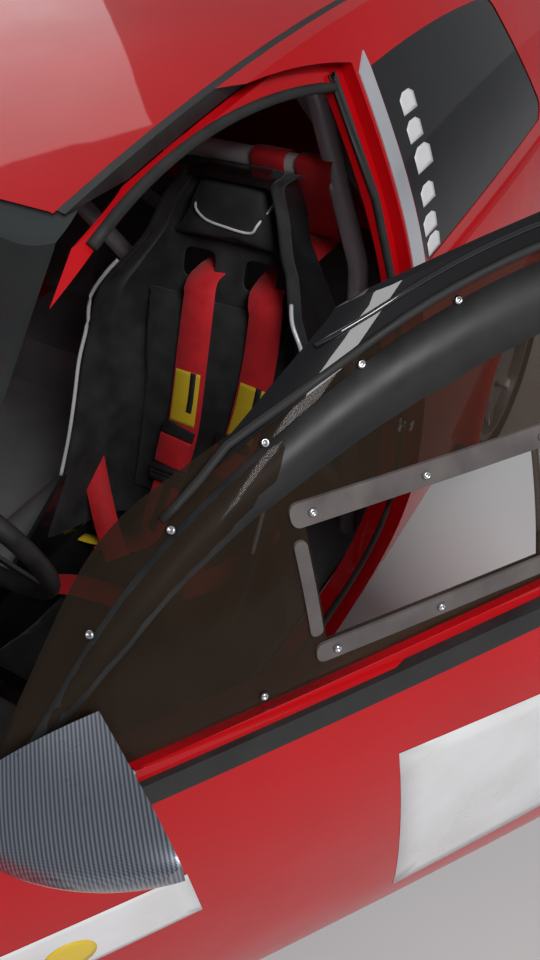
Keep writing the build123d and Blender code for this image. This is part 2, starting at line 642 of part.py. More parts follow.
def floor_pan():
    """Floor panels: firewall, floor plates, tunnel, heel board, boot floor and wheel housings."""
    rear = KICK_Y - SEAM
    wall = block((-HALF, HALF), (FIREWALL_Y, FIREWALL_Y + PLATE), (FLOOR_Z, 860))
    plate = block((TUNNEL_R + SEAM, HALF), (FIREWALL_Y + PLATE + SEAM, rear), (FLOOR_Z, FLOOR_Z + PLATE))
    house = front_house(HOUSE_R + PLATE) - front_house(HOUSE_R)
    house = house + (Pos(BALL_LOW.X, 0, HOUSE_TOP + PLATE / 2) * Cylinder(HOUSE_R + PLATE, PLATE))
    house = house & block((0, HALF), (FIREWALL_Y, 500), (FLOOR_Z, HOUSE_TOP + PLATE))
    room = Pos(BALL_LOW.X, 0, (HOUSE_TOP + PLATE + SEAM) / 2) * Cylinder(
        HOUSE_R + PLATE + SEAM, HOUSE_TOP + PLATE + SEAM)
    middle = (FIREWALL_Y + PLATE + SEAM + rear) / 2
    length = rear - FIREWALL_Y - PLATE - SEAM
    tunnel = Pos(0, middle, FLOOR_Z + PLATE) * Rot(90, 0, 0) * (
        Cylinder(TUNNEL_R, length) - Cylinder(TUNNEL_R - PLATE, length + 10))
    tunnel = tunnel & block((-200, 200), (0, 2000), (FLOOR_Z + PLATE, 600))
    foot = block((TUNNEL_R - PLATE, TUNNEL_R), (middle - length / 2, middle + length / 2), (FLOOR_Z, FLOOR_Z + PLATE))
    bore = Pos(0, FIREWALL_Y, FLOOR_Z) * Rot(90, 0, 0) * Cylinder(TUNNEL_R - PLATE, 60)
    heel = block((-HALF, HALF), (KICK_Y, KICK_Y + PLATE), (FLOOR_Z, BOOT_Z - SEAM))
    heel = heel - Pos(0, KICK_Y, FLOOR_Z) * Rot(90, 0, 0) * Cylinder(TUNNEL_R - PLATE, 60)
    boot = block((-HALF, HALF), (KICK_Y, 2700), (BOOT_Z, BOOT_Z + PLATE))
    boot = boot + block((-540, 540), (2700, 2890), (BOOT_Z, BOOT_Z + PLATE))
    cave = Pos(600, WHEELBASE, TYRE_R) * Rot(0, 90, 0) * Cylinder(ARCH_R, 196)
    rear_house = Pos(585, WHEELBASE, TYRE_R) * Rot(0, 90, 0) * Cylinder(ARCH_R + PLATE, 190)
    above = block((0, 700), (2000, 2800), (BOOT_Z + PLATE + SEAM, 700))
    wall = wall - room - mirrored(room) - bore
    boot = boot - cave - mirrored(cave)
    pieces = [wall, heel, boot, tunnel + foot + mirrored(foot)]
    for piece in (plate - room, house, (rear_house & above) - cave):
        pieces += [piece, mirrored(piece)]
    return [largest(piece & LINING_CLEAR) for piece in pieces]


def front_frame():
    """Side members, cross members and strut towers ahead of the firewall."""
    outer = RAIL_IN + RAIL_W
    frame = block((-outer, outer), (-612, -560), (400, 500))
    frame = frame + block((-500, 500), (-560, -530), (600, 640))
    frame = frame + block((-outer, outer), (90, 180), (150, 192))
    for s in (-1, 1):
        side = sorted((s * RAIL_IN, s * outer))
        frame = frame + block(side, (-570, FIREWALL_Y - SEAM), (400, 480))
        frame = frame + block(side, (90, 180), (150, 420)) + block(side, (-95, -45), (165, 420))
        frame = frame + block(side, (-560, -530), (480, 640))
        frame = frame + block(sorted((s * (outer - 14), s * outer)), (-130, 130), (470, 800))
        frame = frame + block(sorted((s * (outer - 14), s * 650)), (-130, 130), (786, 800))
    return frame


def engine():
    """Engine and gearbox as one plain block between the side members."""
    return fillet(block((SEAM - RAIL_IN, RAIL_IN - SEAM), (-250, 150), (235, 735)).edges(), 12)


COLUMN = (Vector(SEAT_X, 640, 765), Vector(SEAT_X, 835, 822))


def dashboard():
    """Dashboard shell with the steering column below it."""
    back = FIREWALL_Y + PLATE + SEAM
    shape = polygon((back, 895), (640, 850), (655, 790), (590, 700), (back, 690))
    board = extrude(Plane.YZ.offset(-615) * shape, amount=1230)
    axis = (COLUMN[1] - COLUMN[0]).normalized()
    board = fillet(board.edges().filter_by(Axis.X), 18) & LINING_CLEAR
    return board + rod(tuple(COLUMN[0] - axis * 90), tuple(COLUMN[0] + axis * (40 - SEAM)), 24)


def steering_wheel():
    """Three-spoked steering wheel on its boss."""
    axis = (COLUMN[1] - COLUMN[0]).normalized()
    plane = Plane(origin=COLUMN[1], x_dir=(1, 0, 0), z_dir=axis)
    wheel = plane * Torus(160, 14)
    for n in (0, 120, 240):
        wheel = wheel + plane * Rot(0, 0, n - 90) * Pos(82, 0, -6) * Box(150, 26, 5)
    return wheel + plane * Pos(0, 0, -12) * Cylinder(42, 22) + rod(
        tuple(COLUMN[0] + axis * 40), tuple(COLUMN[1] - axis * 20), 14)


def seat_point(along, out):
    """A point of the seat's side view: its distance up the back and ahead of the back."""
    lean = math.radians(SEAT_LEAN)
    return (SEAT_Y + along * math.sin(lean) - out * math.cos(lean),
            SEAT_Z + along * math.cos(lean) + out * math.sin(lean))


# columns: half width of the seat, height above the foot of its back
SEAT_OUTLINE = [
    (SEAT_HIP - 36, -40), (SEAT_HIP, 60), (SEAT_HIP, 330), (246, 420), (240, 540), (154, 656), (132, 716),
    (96, 768),
]
# columns: distance up the back, how far the side wings stand ahead of it
SEAT_WING = [(180, 175), (330, 150), (470, 118), (580, 112), (650, 74), (740, 66), (SEAT_TOP, 44)]


def seat_front(by):
    """Front view of the seat, wide at hip and shoulder and narrow at the head."""
    half = [(x, SEAT_Z + z) for x, z in SEAT_OUTLINE]
    view = polygon(*[(SEAT_X + x, z) for x, z in half], *[(SEAT_X - x, z) for x, z in reversed(half)])
    return offset(fillet(view.vertices(), 26), amount=by) if by else fillet(view.vertices(), 26)


def seat_shell():
    """Driver's bucket shell: pan, back and head in one moulding with two belt slots."""
    lip, wide = SEAT_Y - SEAT_PAN, (SEAT_X - 270, SEAT_X + 270)
    side = polygon((lip, SEAT_Z - 38), (lip - 4, SEAT_Z + 85), (lip + 160, SEAT_Z + 98),
                   *[seat_point(along, out) for along, out in SEAT_WING],
                   seat_point(SEAT_TOP, -16), seat_point(0, -16), (SEAT_Y - 24, SEAT_Z - 38))
    hollow = polygon((lip - 40, SEAT_Z - 26), (SEAT_Y - 32, SEAT_Z - 26), seat_point(6, -4),
                     seat_point(SEAT_TOP - 12, -4), seat_point(SEAT_TOP - 12, 500), (lip - 40, 900))
    shell = side_blank(fillet(side.vertices(), 14), *wide) & front_blank(seat_front(0), 800, 1800)
    shell = shell - (side_blank(hollow, *wide) & front_blank(seat_front(-10), 800, 1800))
    slot = polygon(*[seat_point(SLOT_AT + up, out) for up, out in ((0, -60), (0, 60), (SLOT_H, 60), (SLOT_H, -60))])
    for s in (-1, 1):
        shell = shell - side_blank(slot, SEAT_X + s * SLOT_OUT - SLOT_W / 2, SEAT_X + s * SLOT_OUT + SLOT_W / 2)
    return largest(shell)


def seat_pads():
    """Cushions for thigh, back and head, lying in the shell."""
    gap, lip, low = SEAM - 4, SEAT_Y - SEAT_PAN + 12, SEAT_Z - 26 + SEAM
    views = (
        polygon((lip, low), (SEAT_Y - 36, low), (SEAT_Y - 32, SEAT_Z + 16), (lip, SEAT_Z + 26)),
        polygon(seat_point(60, gap), seat_point(560, gap), seat_point(560, 26), seat_point(60, 32)),
        polygon(seat_point(664, gap), seat_point(792, gap), seat_point(784, 30), seat_point(672, 34)),
    )
    inside = front_blank(seat_front(-10 - SEAM), 800, 1800)
    return [largest(side_blank(view, SEAT_X - 270, SEAT_X + 270) & inside) for view in views]


def seat_brackets():
    """Two side plates that carry the shell on the floor."""
    plates = []
    low = FLOOR_Z + PLATE + SEAM
    for s in (-1, 1):
        face = sorted((SEAT_X + s * (SEAT_HIP + SEAM), SEAT_X + s * (SEAT_HIP + SEAM + 6)))
        plates.append(side_blank(polygon((SEAT_Y - 382, low), (SEAT_Y - 22, low), (SEAT_Y - 42, SEAT_Z + 60),
                                         (SEAT_Y - 362, SEAT_Z + 60)), *face))
    return plates


def roll_cage():
    """Main hoop, diagonal, belt bar and two rear stays."""
    foot, knee, corner, low = 604, 610, 506, FLOOR_Z + PLATE + SEAM
    hoop = tube([(foot, HOOP_Y, low), (knee, HOOP_Y, 900), (corner, HOOP_Y, HOOP_TOP),
                 (-corner, HOOP_Y, HOOP_TOP), (-knee, HOOP_Y, 900), (-foot, HOOP_Y, low)], TUBE_R, 90)
    cage = hoop + rod((-560, HOOP_Y, BELT_BAR), (560, HOOP_Y, BELT_BAR), TUBE_R)
    cage = cage + rod((-470, HOOP_Y, HOOP_TOP - 24), (585, HOOP_Y, 330), TUBE_R)
    for s in (-1, 1):
        cage = cage + rod((s * 466, HOOP_Y, HOOP_TOP - 10), (s * 430, 2560, BOOT_Z + PLATE + 22), TUBE_R)
        cage = cage + Pos(s * 430, 2552, BOOT_Z + PLATE + SEAM + 10) * Box(90, 110, 20)
    return cage


def exhaust():
    """Pipe along the tunnel with its silencer and tail pipe."""
    pipe = tube([(0, 150 + SEAM, 224), (0, 1480, 224), (0, 1640, 148), (300, 1900, 148),
                 (PIPE_X, 2060, 180), (PIPE_X, 2300, 180), (PIPE_X, 2560, PIPE_Z)], 25, 50)
    box = Pos(PIPE_X, 2690, PIPE_Z) * Rot(90, 0, 0) * Cylinder(66, 290)
    return pipe + box + rod((PIPE_X, 2830, PIPE_Z), (PIPE_X, 2995, PIPE_Z), PIPE_R)


def save(name, *pieces):
    """Writes one node."""
    solids = [s for item in pieces for piece in (item if isinstance(item, list) else [item])
              for s in piece.solids()]
    part = Compound(children=solids)
    export_step(part, f"parts/{name}.step")
    print(name, len(solids), round(part.volume / 1e6, 2), "litres")


def save_pair(name, part):
    """Writes a left piece and its mirror image."""
    save(f"{name}_left", part)
    save(f"{name}_right", mirrored(part))


if __name__ == "__main__":
    os.makedirs("parts", exist_ok=True)
    save_pair("side_frame", side_frame())
    save("roof_panel", roof_panel())
    strip = roof_moulding()
    save("roof_mouldings", strip, mirrored(strip))
    save("bonnet", bonnet())
    save_pair("front_wing", front_wing())
    save("scuttle", scuttle())
    save("front_bumper", bumper_front())
    save("rear_bumper", bumper_rear())
    lamp = nose_band(LAMP_IN, FAR)
    save("headlamps", lamp, mirrored(lamp))
    save("grille", grille())
    lamp = largest((front_blank(TAIL_LAMP, 2780, 3100) & SKIN) - UNDER)
    save("tail_lamps", lamp, mirrored(lamp))
    save("tailgate", tailgate())
    save("windscreen", pane(front_blank(SCREEN, 100, 1200), 3, 6))
    save("tailgate_glass", pane(front_blank(TAIL_GLASS, 2300, 3100), 3, 5))
    glass = pane(side_blank(QUARTER), 2, GLASS)
    save("quarter_glass", glass, mirrored(glass))
    trim = pillar_trim()
    save("pillar_trims", trim, mirrored(trim))

    door = door_panel()
    window = pane(side_blank(DOOR_WINDOW), GLASS_DEPTH, GLASS)
    moulding = door_moulding()
    pod = mirror_shell()
    save("door_left", swing(door))
    save("door_left_window", swing(largest(window - side_blank(slider_opening()))))
    save("door_left_slider", [swing(piece) for piece in slider_rails()])
    save("door_left_moulding", swing(moulding))
    save("mirror_left", swing(pod))
    save("door_right", mirrored(door))
    save("door_right_window", mirrored(window))
    save("door_right_moulding", mirrored(moulding))
    save("mirror_right", mirrored(pod))

    for axle, x, y in (("front", WHEEL_X, 0), ("rear", REAR_X, WHEELBASE)):
        wheel = rim() + hub() if axle == "front" else rim() - Cylinder(SPINDLE_R + RUNNING, 200)
        save_pair(f"wheel_{axle}", on_axle(wheel, x, y))
        save_pair(f"tyre_{axle}", on_axle(tyre(), x, y))
    save_pair("knuckle", knuckle())
    arm, shaft = lower_arm(), drive_shaft()
    save("lower_arms", arm, mirrored(arm))
    save("drive_shafts", shaft, mirrored(shaft))
    save("rear_axle", rear_axle())

    save("floor_pan", floor_pan())
    save("front_frame", front_frame())
    save("engine_block", engine())
    save("exhaust", exhaust())
    save("dashboard", dashboard())
    save("steering_wheel", steering_wheel())
    save("seat_shell", seat_shell())
    save("seat_pads", seat_pads())
    save("seat_brackets", seat_brackets())
    save("roll_cage", roll_cage())
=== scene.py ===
# Slalom hatchback with its driver's door open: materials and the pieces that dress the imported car.
import bpy
import bmesh
import json
import math
from mathutils import Matrix, Vector
from mathutils.bvhtree import BVHTree


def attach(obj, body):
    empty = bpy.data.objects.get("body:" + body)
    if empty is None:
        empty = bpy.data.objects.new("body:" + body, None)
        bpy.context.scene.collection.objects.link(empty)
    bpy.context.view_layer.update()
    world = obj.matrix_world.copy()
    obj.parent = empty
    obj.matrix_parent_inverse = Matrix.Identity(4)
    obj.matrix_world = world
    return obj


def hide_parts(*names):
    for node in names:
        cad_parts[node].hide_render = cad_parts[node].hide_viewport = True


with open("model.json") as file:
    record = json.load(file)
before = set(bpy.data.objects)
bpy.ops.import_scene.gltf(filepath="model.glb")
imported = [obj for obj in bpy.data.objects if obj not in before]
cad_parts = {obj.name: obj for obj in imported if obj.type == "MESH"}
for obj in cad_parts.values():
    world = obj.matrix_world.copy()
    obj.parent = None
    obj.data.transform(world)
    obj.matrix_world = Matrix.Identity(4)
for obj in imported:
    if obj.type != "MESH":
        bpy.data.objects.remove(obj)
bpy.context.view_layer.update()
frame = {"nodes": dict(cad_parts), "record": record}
scene = bpy.context.scene
print("frame loaded:", len(frame["nodes"]), "nodes")

# shared helpers
door = {"hinge": (0.768, 0.423), "open": 34.0}   # as in the part


def turned(point, open=door["open"]):
    # a point of the shut left door, swung to where the door stands
    dx, dy = point[0] - door["hinge"][0], point[1] - door["hinge"][1]
    a = math.radians(open)
    return Vector((door["hinge"][0] + dx * math.cos(a) + dy * math.sin(a),
                   door["hinge"][1] - dx * math.sin(a) + dy * math.cos(a), point[2]))


def link(name, mesh, material, body, smooth=True):
    obj = bpy.data.objects.new(name, mesh)
    scene.collection.objects.link(obj)
    obj.data.materials.append(material)
    if smooth and obj.type == "MESH":
        for face in obj.data.polygons:
            face.use_smooth = True
    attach(obj, body)
    return obj


def meshFrom(name, bm, material, body, smooth=True):
    mesh = bpy.data.meshes.new(name)
    bmesh.ops.recalc_face_normals(bm, faces=bm.faces)
    bm.to_mesh(mesh)
    bm.free()
    return link(name, mesh, material, body, smooth)


def modify(obj, kind, **values):
    mod = obj.modifiers.new(kind.lower(), kind)
    for key, value in values.items():
        setattr(mod, key, value)
    return mod


# materials
def shader(name):
    mat = bpy.data.materials.new(name)
    mat.use_nodes = True
    tree = mat.node_tree
    return mat, tree, tree.nodes["Principled BSDF"]


def add(tree, kind, **values):
    node = tree.nodes.new(kind)
    for key, value in values.items():
        if key in node.inputs:
            node.inputs[key].default_value = value
        else:
            setattr(node, key, value)
    return node


def mottle(tree, scale, detail=4.0, stretch=(1, 1, 1)):
    # noise in the object's own metres
    where = add(tree, "ShaderNodeTexCoord")
    spread = add(tree, "ShaderNodeMapping")
    spread.inputs["Scale"].default_value = stretch
    noise = add(tree, "ShaderNodeTexNoise", Scale=scale, Detail=detail)
    tree.links.new(where.outputs["Object"], spread.inputs["Vector"])
    tree.links.new(spread.outputs["Vector"], noise.inputs["Vector"])
    return noise.outputs[0]


def blendColours(tree, factor, low, high, lowAt=0.35, highAt=0.65):
    ramp = add(tree, "ShaderNodeValToRGB")
    ramp.color_ramp.elements[0].position, ramp.color_ramp.elements[1].position = lowAt, highAt
    ramp.color_ramp.elements[0].color, ramp.color_ramp.elements[1].color = (*low, 1), (*high, 1)
    tree.links.new(factor, ramp.inputs[0])
    return ramp.outputs[0]


def spreadValue(tree, factor, low, high):
    span = add(tree, "ShaderNodeMapRange")
    span.inputs["From Min"].default_value, span.inputs["From Max"].default_value = 0.3, 0.7
    span.inputs["To Min"].default_value, span.inputs["To Max"].default_value = low, high
    tree.links.new(factor, span.inputs[0])
    return span.outputs[0]


def bumpy(tree, bsdf, height, strength, distance):
    bump = add(tree, "ShaderNodeBump", Strength=strength, Distance=distance)
    tree.links.new(height, bump.inputs["Height"])
    tree.links.new(bump.outputs[0], bsdf.inputs["Normal"])


def finish(name, low, high, rough, patch=14, grain=400, relief=0.15, depth=0.0004, metal=0.0, coat=0.0,
           sheen=0.0, stretch=(1, 1, 1)):
    # the common build: two close colours in patches, roughness with them, fine grain as bump
    mat, tree, bsdf = shader(name)
    patches = mottle(tree, patch)
    tree.links.new(blendColours(tree, patches, low, high), bsdf.inputs["Base Color"])
    tree.links.new(spreadValue(tree, patches, *rough), bsdf.inputs["Roughness"])
    bumpy(tree, bsdf, mottle(tree, grain, 2.0, stretch), relief, depth)
    bsdf.inputs["Metallic"].default_value = metal
    bsdf.inputs["Coat Weight"].default_value = coat
    bsdf.inputs["Coat Roughness"].default_value = 0.04
    bsdf.inputs["Sheen Weight"].default_value = sheen
    return mat


belt = {"foot": 0.922, "at": 1.0, "rise": math.tan(math.radians(2.6))}   # foot of the door windows


def paintFinish(name, low, high, doorOpen=None):
    # gloss paint over orange peel; on a door it turns to black window frame above the belt
    mat, tree, bsdf = shader(name)
    colour = blendColours(tree, mottle(tree, 3.0), low, high)
    if doorOpen is not None:
        a = math.radians(doorOpen)
        along = (math.sin(a), math.cos(a))   # the shut door's length, in the open door's plan
        start = door["hinge"][1] - door["hinge"][0] * along[0] - door["hinge"][1] * along[1]
        where = add(tree, "ShaderNodeTexCoord")
        height = add(tree, "ShaderNodeVectorMath", operation="DOT_PRODUCT")
        height.inputs[1].default_value = (-belt["rise"] * along[0], -belt["rise"] * along[1], 1)
        above = add(tree, "ShaderNodeMath", operation="GREATER_THAN")
        above.inputs[1].default_value = belt["foot"] + belt["rise"] * ((start if doorOpen else 0) - belt["at"])
        mix = add(tree, "ShaderNodeMix", data_type="RGBA")
        mix.inputs[7].default_value = (0.006, 0.006, 0.007, 1)
        tree.links.new(where.outputs["Object"], height.inputs[0])
        tree.links.new(height.outputs["Value"], above.inputs[0])
        tree.links.new(above.outputs[0], mix.inputs[0])
        tree.links.new(colour, mix.inputs[6])
        colour = mix.outputs[2]
    tree.links.new(colour, bsdf.inputs["Base Color"])
    tree.links.new(spreadValue(tree, mottle(tree, 9.0), 0.38, 0.5), bsdf.inputs["Roughness"])
    bumpy(tree, bsdf, mottle(tree, 260, 2.0), 0.04, 0.0004)
    bsdf.inputs["Specular IOR Level"].default_value = 0.06
    bsdf.inputs["Coat Weight"].default_value = 0.55
    bsdf.inputs["Coat Roughness"].default_value = 0.03
    return mat


def glassFinish(name, tint, rough, density, smear=0.06):
    # clear sheet: tinted see-through mixed with a glossy face, finger marks in its roughness
    mat, tree, bsdf = shader(name)
    marks = mottle(tree, 12.0)
    tree.links.new(blendColours(tree, marks, tint, [c * 0.8 for c in tint]), bsdf.inputs["Base Color"])
    tree.links.new(spreadValue(tree, marks, rough, rough + smear), bsdf.inputs["Roughness"])
    clear = add(tree, "ShaderNodeBsdfTransparent")
    clear.inputs[0].default_value = (*[0.35 + 0.6 * c for c in tint], 1)
    mix = add(tree, "ShaderNodeMixShader")
    edge = add(tree, "ShaderNodeLayerWeight", Blend=0.25)
    strength = add(tree, "ShaderNodeMath", operation="MULTIPLY_ADD", use_clamp=True)
    strength.inputs[1].default_value, strength.inputs[2].default_value = 0.75, density
    out = tree.nodes["Material Output"]
    tree.links.new(edge.outputs["Fresnel"], strength.inputs[0])
    tree.links.new(strength.outputs[0], mix.inputs[0])
    tree.links.new(clear.outputs[0], mix.inputs[1])
    tree.links.new(bsdf.outputs[0], mix.inputs[2])
    tree.links.new(mix.outputs[0], out.inputs["Surface"])
    return mat


def twillFinish(name, low, high, pitch=0.004):
    # carbon cloth under gloss resin: steps of a diagonal weave
    mat, tree, bsdf = shader(name)
    where = add(tree, "ShaderNodeTexCoord")
    split = add(tree, "ShaderNodeSeparateXYZ")
    tree.links.new(where.outputs["Object"], split.inputs[0])

    def band(axis, other):
        row = add(tree, "ShaderNodeMath", operation="DIVIDE")
        row.inputs[1].default_value = pitch
        tree.links.new(split.outputs[axis], row.inputs[0])
        floor = add(tree, "ShaderNodeMath", operation="FLOOR")
        tree.links.new(row.outputs[0], floor.inputs[0])
        col = add(tree, "ShaderNodeMath", operation="DIVIDE")
        col.inputs[1].default_value = pitch
        tree.links.new(split.outputs[other], col.inputs[0])
        colFloor = add(tree, "ShaderNodeMath", operation="FLOOR")
        tree.links.new(col.outputs[0], colFloor.inputs[0])
        total = add(tree, "ShaderNodeMath", operation="ADD")
        tree.links.new(floor.outputs[0], total.inputs[0])
        tree.links.new(colFloor.outputs[0], total.inputs[1])
        wrap = add(tree, "ShaderNodeMath", operation="FLOORED_MODULO")
        wrap.inputs[1].default_value = 4
        tree.links.new(total.outputs[0], wrap.inputs[0])
        step = add(tree, "ShaderNodeMath", operation="LESS_THAN")
        step.inputs[1].default_value = 1.5
        tree.links.new(wrap.outputs[0], step.inputs[0])
        return step.outputs[0]

    weave = band(0, 1)
    tree.links.new(blendColours(tree, weave, low, high, 0.0, 1.0), bsdf.inputs["Base Color"])
    tree.links.new(spreadValue(tree, mottle(tree, 30), 0.25, 0.4), bsdf.inputs["Roughness"])
    bumpy(tree, bsdf, weave, 0.1, 0.0002)
    bsdf.inputs["Metallic"].default_value = 0.4
    bsdf.inputs["Coat Weight"].default_value = 1.0
    bsdf.inputs["Coat Roughness"].default_value = 0.08
    return mat


def velourFinish(name, low, high):
    # short black pile, rubbed lighter in patches
    mat, tree, bsdf = shader(name)
    rub = mottle(tree, 18)
    tree.links.new(blendColours(tree, rub, low, high), bsdf.inputs["Base Color"])
    tree.links.new(spreadValue(tree, rub, 0.85, 1.0), bsdf.inputs["Roughness"])
    bumpy(tree, bsdf, mottle(tree, 900, 3.0), 0.6, 0.0008)
    bsdf.inputs["Sheen Weight"].default_value = 0.12
    bsdf.inputs["Sheen Roughness"].default_value = 0.4
    return mat


redLow, redHigh = (0.46, 0.002, 0.005), (0.53, 0.003, 0.007)
bodyRed = paintFinish("bodyRed", redLow, redHigh)
openDoorRed = paintFinish("openDoorRed", redLow, redHigh, door["open"])
shutDoorRed = paintFinish("shutDoorRed", redLow, redHigh, 0.0)
smokedSheet = glassFinish("smokedSheet", (0.15, 0.10, 0.065), 0.06, 0.12)
clearGlass = glassFinish("clearGlass", (0.20, 0.22, 0.22), 0.02, 0.10, 0.02)
darkGlass = glassFinish("darkGlass", (0.006, 0.006, 0.007), 0.03, 0.94, 0.02)
clearPlastic = glassFinish("clearPlastic", (0.55, 0.52, 0.50), 0.08, 0.35, 0.04)
railPlastic = finish("railPlastic", (0.085, 0.072, 0.070), (0.13, 0.112, 0.108), (0.35, 0.5), 20, 500)
blackPlastic = finish("blackPlastic", (0.010, 0.010, 0.011), (0.022, 0.021, 0.021), (0.42, 0.6), 16, 700, 0.3)
glossBlack = finish("glossBlack", (0.006, 0.006, 0.008), (0.010, 0.010, 0.012), (0.06, 0.12), 8, 200, 0.03, coat=1.0)
rubber = finish("rubber", (0.012, 0.012, 0.012), (0.022, 0.021, 0.02), (0.55, 0.8), 22, 900, 0.3)
# pale silver on the pillar trims, which are black gloss: a painted reflection of the light
pillarPaintedReflection = finish("pillarPaintedReflection", (0.58, 0.60, 0.64), (0.68, 0.70, 0.74), (0.10, 0.2), 6, 200, 0.03,
                     metal=0.5, coat=1.0)
carbonTwill = twillFinish("carbonTwill", (0.05, 0.06, 0.08), (0.19, 0.21, 0.25), 0.0013)
beltBlack = finish("beltBlack", (0.010, 0.010, 0.011), (0.020, 0.020, 0.021), (0.6, 0.8), 26, 1400, 0.7, 0.0006)
# pale colour for the seat shell's rim beads: a painted highlight of the light on the shell's gloss edge
rimPaintedHighlight = finish("rimPaintedHighlight", (0.55, 0.58, 0.62), (0.68, 0.71, 0.75), (0.12, 0.22), 10, 300, 0.05, coat=1.0)
coverGlass = glassFinish("coverGlass", (0.012, 0.012, 0.014), 0.03, 0.80, 0.02)
headlampShell = glassFinish("headlampLens", (0.75, 0.77, 0.80), 0.04, 0.35, 0.03)
tailLampRed = finish("tailLampRed", (0.30, 0.004, 0.006), (0.36, 0.008, 0.010), (0.08, 0.14), 20, 150, 0.3, coat=1.0)
wheelAlloy = finish("wheelAlloy", (0.42, 0.42, 0.44), (0.52, 0.52, 0.54), (0.28, 0.42), 12, 600, 0.1, metal=0.85)
tyreRubber = finish("tyreRubber", (0.012, 0.012, 0.012), (0.030, 0.029, 0.028), (0.7, 0.92), 26, 500, 0.5)
chassisBlack = finish("chassisBlack", (0.020, 0.020, 0.022), (0.045, 0.042, 0.04), (0.45, 0.7), 18, 300, 0.3,
                      metal=0.3)
floorGrey = finish("floorGrey", (0.20, 0.21, 0.22), (0.27, 0.28, 0.29), (0.4, 0.6), 7, 250, 0.2)
castMetal = finish("castMetal", (0.16, 0.16, 0.165), (0.24, 0.235, 0.23), (0.5, 0.7), 20, 350, 0.6, metal=0.6)
pipeSteel = finish("pipeSteel", (0.30, 0.28, 0.26), (0.40, 0.37, 0.33), (0.3, 0.5), 16, 500, 0.2, metal=0.9)
dashPlastic = finish("dashPlastic", (0.022, 0.022, 0.024), (0.035, 0.035, 0.037), (0.6, 0.8), 10, 900, 0.5)
wheelLeather = finish("wheelLeather", (0.012, 0.012, 0.012), (0.022, 0.021, 0.02), (0.45, 0.65), 30, 1200, 0.6)
seatShellGloss = finish("seatShellGloss", (0.006, 0.006, 0.007), (0.012, 0.012, 0.013), (0.16, 0.26), 10, 300, 0.1,
                        coat=0.6)
seatVelour = velourFinish("seatVelour", (0.008, 0.008, 0.009), (0.028, 0.027, 0.028))
bracketSteel = finish("bracketSteel", (0.03, 0.03, 0.03), (0.05, 0.05, 0.05), (0.4, 0.55), 20, 400, 0.2, metal=0.4)
cageSilver = finish("cageSilver", (0.56, 0.58, 0.61), (0.64, 0.66, 0.69), (0.25, 0.4), 8, 300, 0.12,
                    metal=0.15, coat=0.4)
beltRed = finish("beltRed", (0.56, 0.008, 0.014), (0.68, 0.012, 0.02), (0.6, 0.8), 26, 1400, 0.7, 0.0006, sheen=0.08,
                 stretch=(1, 1, 0.12))
steelBright = finish("steelBright", (0.55, 0.56, 0.58), (0.68, 0.68, 0.70), (0.15, 0.3), 30, 600, 0.1, metal=1.0)
pipingWhite = finish("pipingWhite", (0.55, 0.55, 0.55), (0.72, 0.72, 0.72), (0.4, 0.6), 40, 900, 0.4)
stickerWhite = finish("stickerWhite", (0.70, 0.70, 0.70), (0.78, 0.78, 0.79), (0.25, 0.35), 9, 300, 0.04)
stickerYellow = finish("stickerYellow", (0.72, 0.50, 0.02), (0.78, 0.56, 0.04), (0.25, 0.35), 12, 300, 0.04)

slotLooks = {
    "body_red": bodyRed, "tinted_polycarbonate": smokedSheet, "window_glass": clearGlass, "dark_glass": darkGlass,
    "window_rail": railPlastic, "black_plastic": blackPlastic, "mirror_shell": carbonTwill,
    "lamp_clear": headlampShell, "lamp_red": tailLampRed, "rim_alloy": wheelAlloy, "tyre_rubber": tyreRubber,
    "chassis_steel": chassisBlack, "floor_paint": floorGrey, "engine_metal": castMetal, "exhaust_steel": pipeSteel,
    "dash_plastic": dashPlastic, "steering_leather": wheelLeather, "seat_shell_black": seatShellGloss,
    "seat_cloth": seatVelour, "bracket_steel": bracketSteel, "cage_paint": cageSilver,
}
slotOf = {row["node"]: row["material_slot"] for row in frame["record"]["subparts"]}
for name, obj in frame["nodes"].items():
    look = slotLooks[slotOf[name]]
    look = {"door_left": openDoorRed, "door_right": shutDoorRed, "pillar_trims": pillarPaintedReflection,
            "quarter_glass": coverGlass}.get(name, look)
    for index in range(len(obj.data.materials)):
        obj.data.materials[index] = look
print("materials on the packed nodes")

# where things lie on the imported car
rayFrom, rayDepth, wallFrom = 1.2, 0.42, 0.4   # a side ray's start, its usual reach, and the least x of a wall


def shut(point):
    # a point of the left door as it stands, swung back to where it shuts
    dx, dy = point[0] - door["hinge"][0], point[1] - door["hinge"][1]
    a = math.radians(door["open"])
    return Vector((door["hinge"][0] + dx * math.cos(a) - dy * math.sin(a),
                   door["hinge"][1] + dx * math.sin(a) + dy * math.cos(a), point[2]))


def surfaceOf(*names, place=None):
    # the faces of some nodes, to drop points on
    corners, faces = [], []
    for name in names:
        mesh, first = frame["nodes"][name].data, len(corners)
        corners += [place(v.co) if place else v.co.copy() for v in mesh.vertices]
        faces += [[first + k for k in poly.vertices] for poly in mesh.polygons]
    return BVHTree.FromPolygons(corners, faces)


def meet(surface, start, way, lift=0.0):
    # where a line first meets the surface, lifted off it, and how the surface faces there
    start, way = Vector(start), Vector(way).normalized()
    spot, facing, _, _ = surface.ray_cast(start, way)
    if spot is None:
        spot, facing, _, _ = surface.find_nearest(start + way * rayDepth)
    if facing.dot(way) > 0:
        facing = -facing
    return spot + facing * lift, facing


def onSide(surface, y, z, side=1, lift=0.0):
    return meet(surface, (side * rayFrom, y, z), (-side, 0, 0), lift)


def alongWall(surface, line, side, lift, near=0.020):
    # the longest stretch of a (y, z) line that has a wall beneath it or close by
    runs = [[]]
    for y, z in line:
        spot, _ = onSide(surface, y, z, side, lift)
        if math.hypot(spot.y - y, spot.z - z) < near and spot.x * side > wallFrom:
            runs[-1].append(spot)
        else:
            runs.append([])
    return max(runs, key=len)


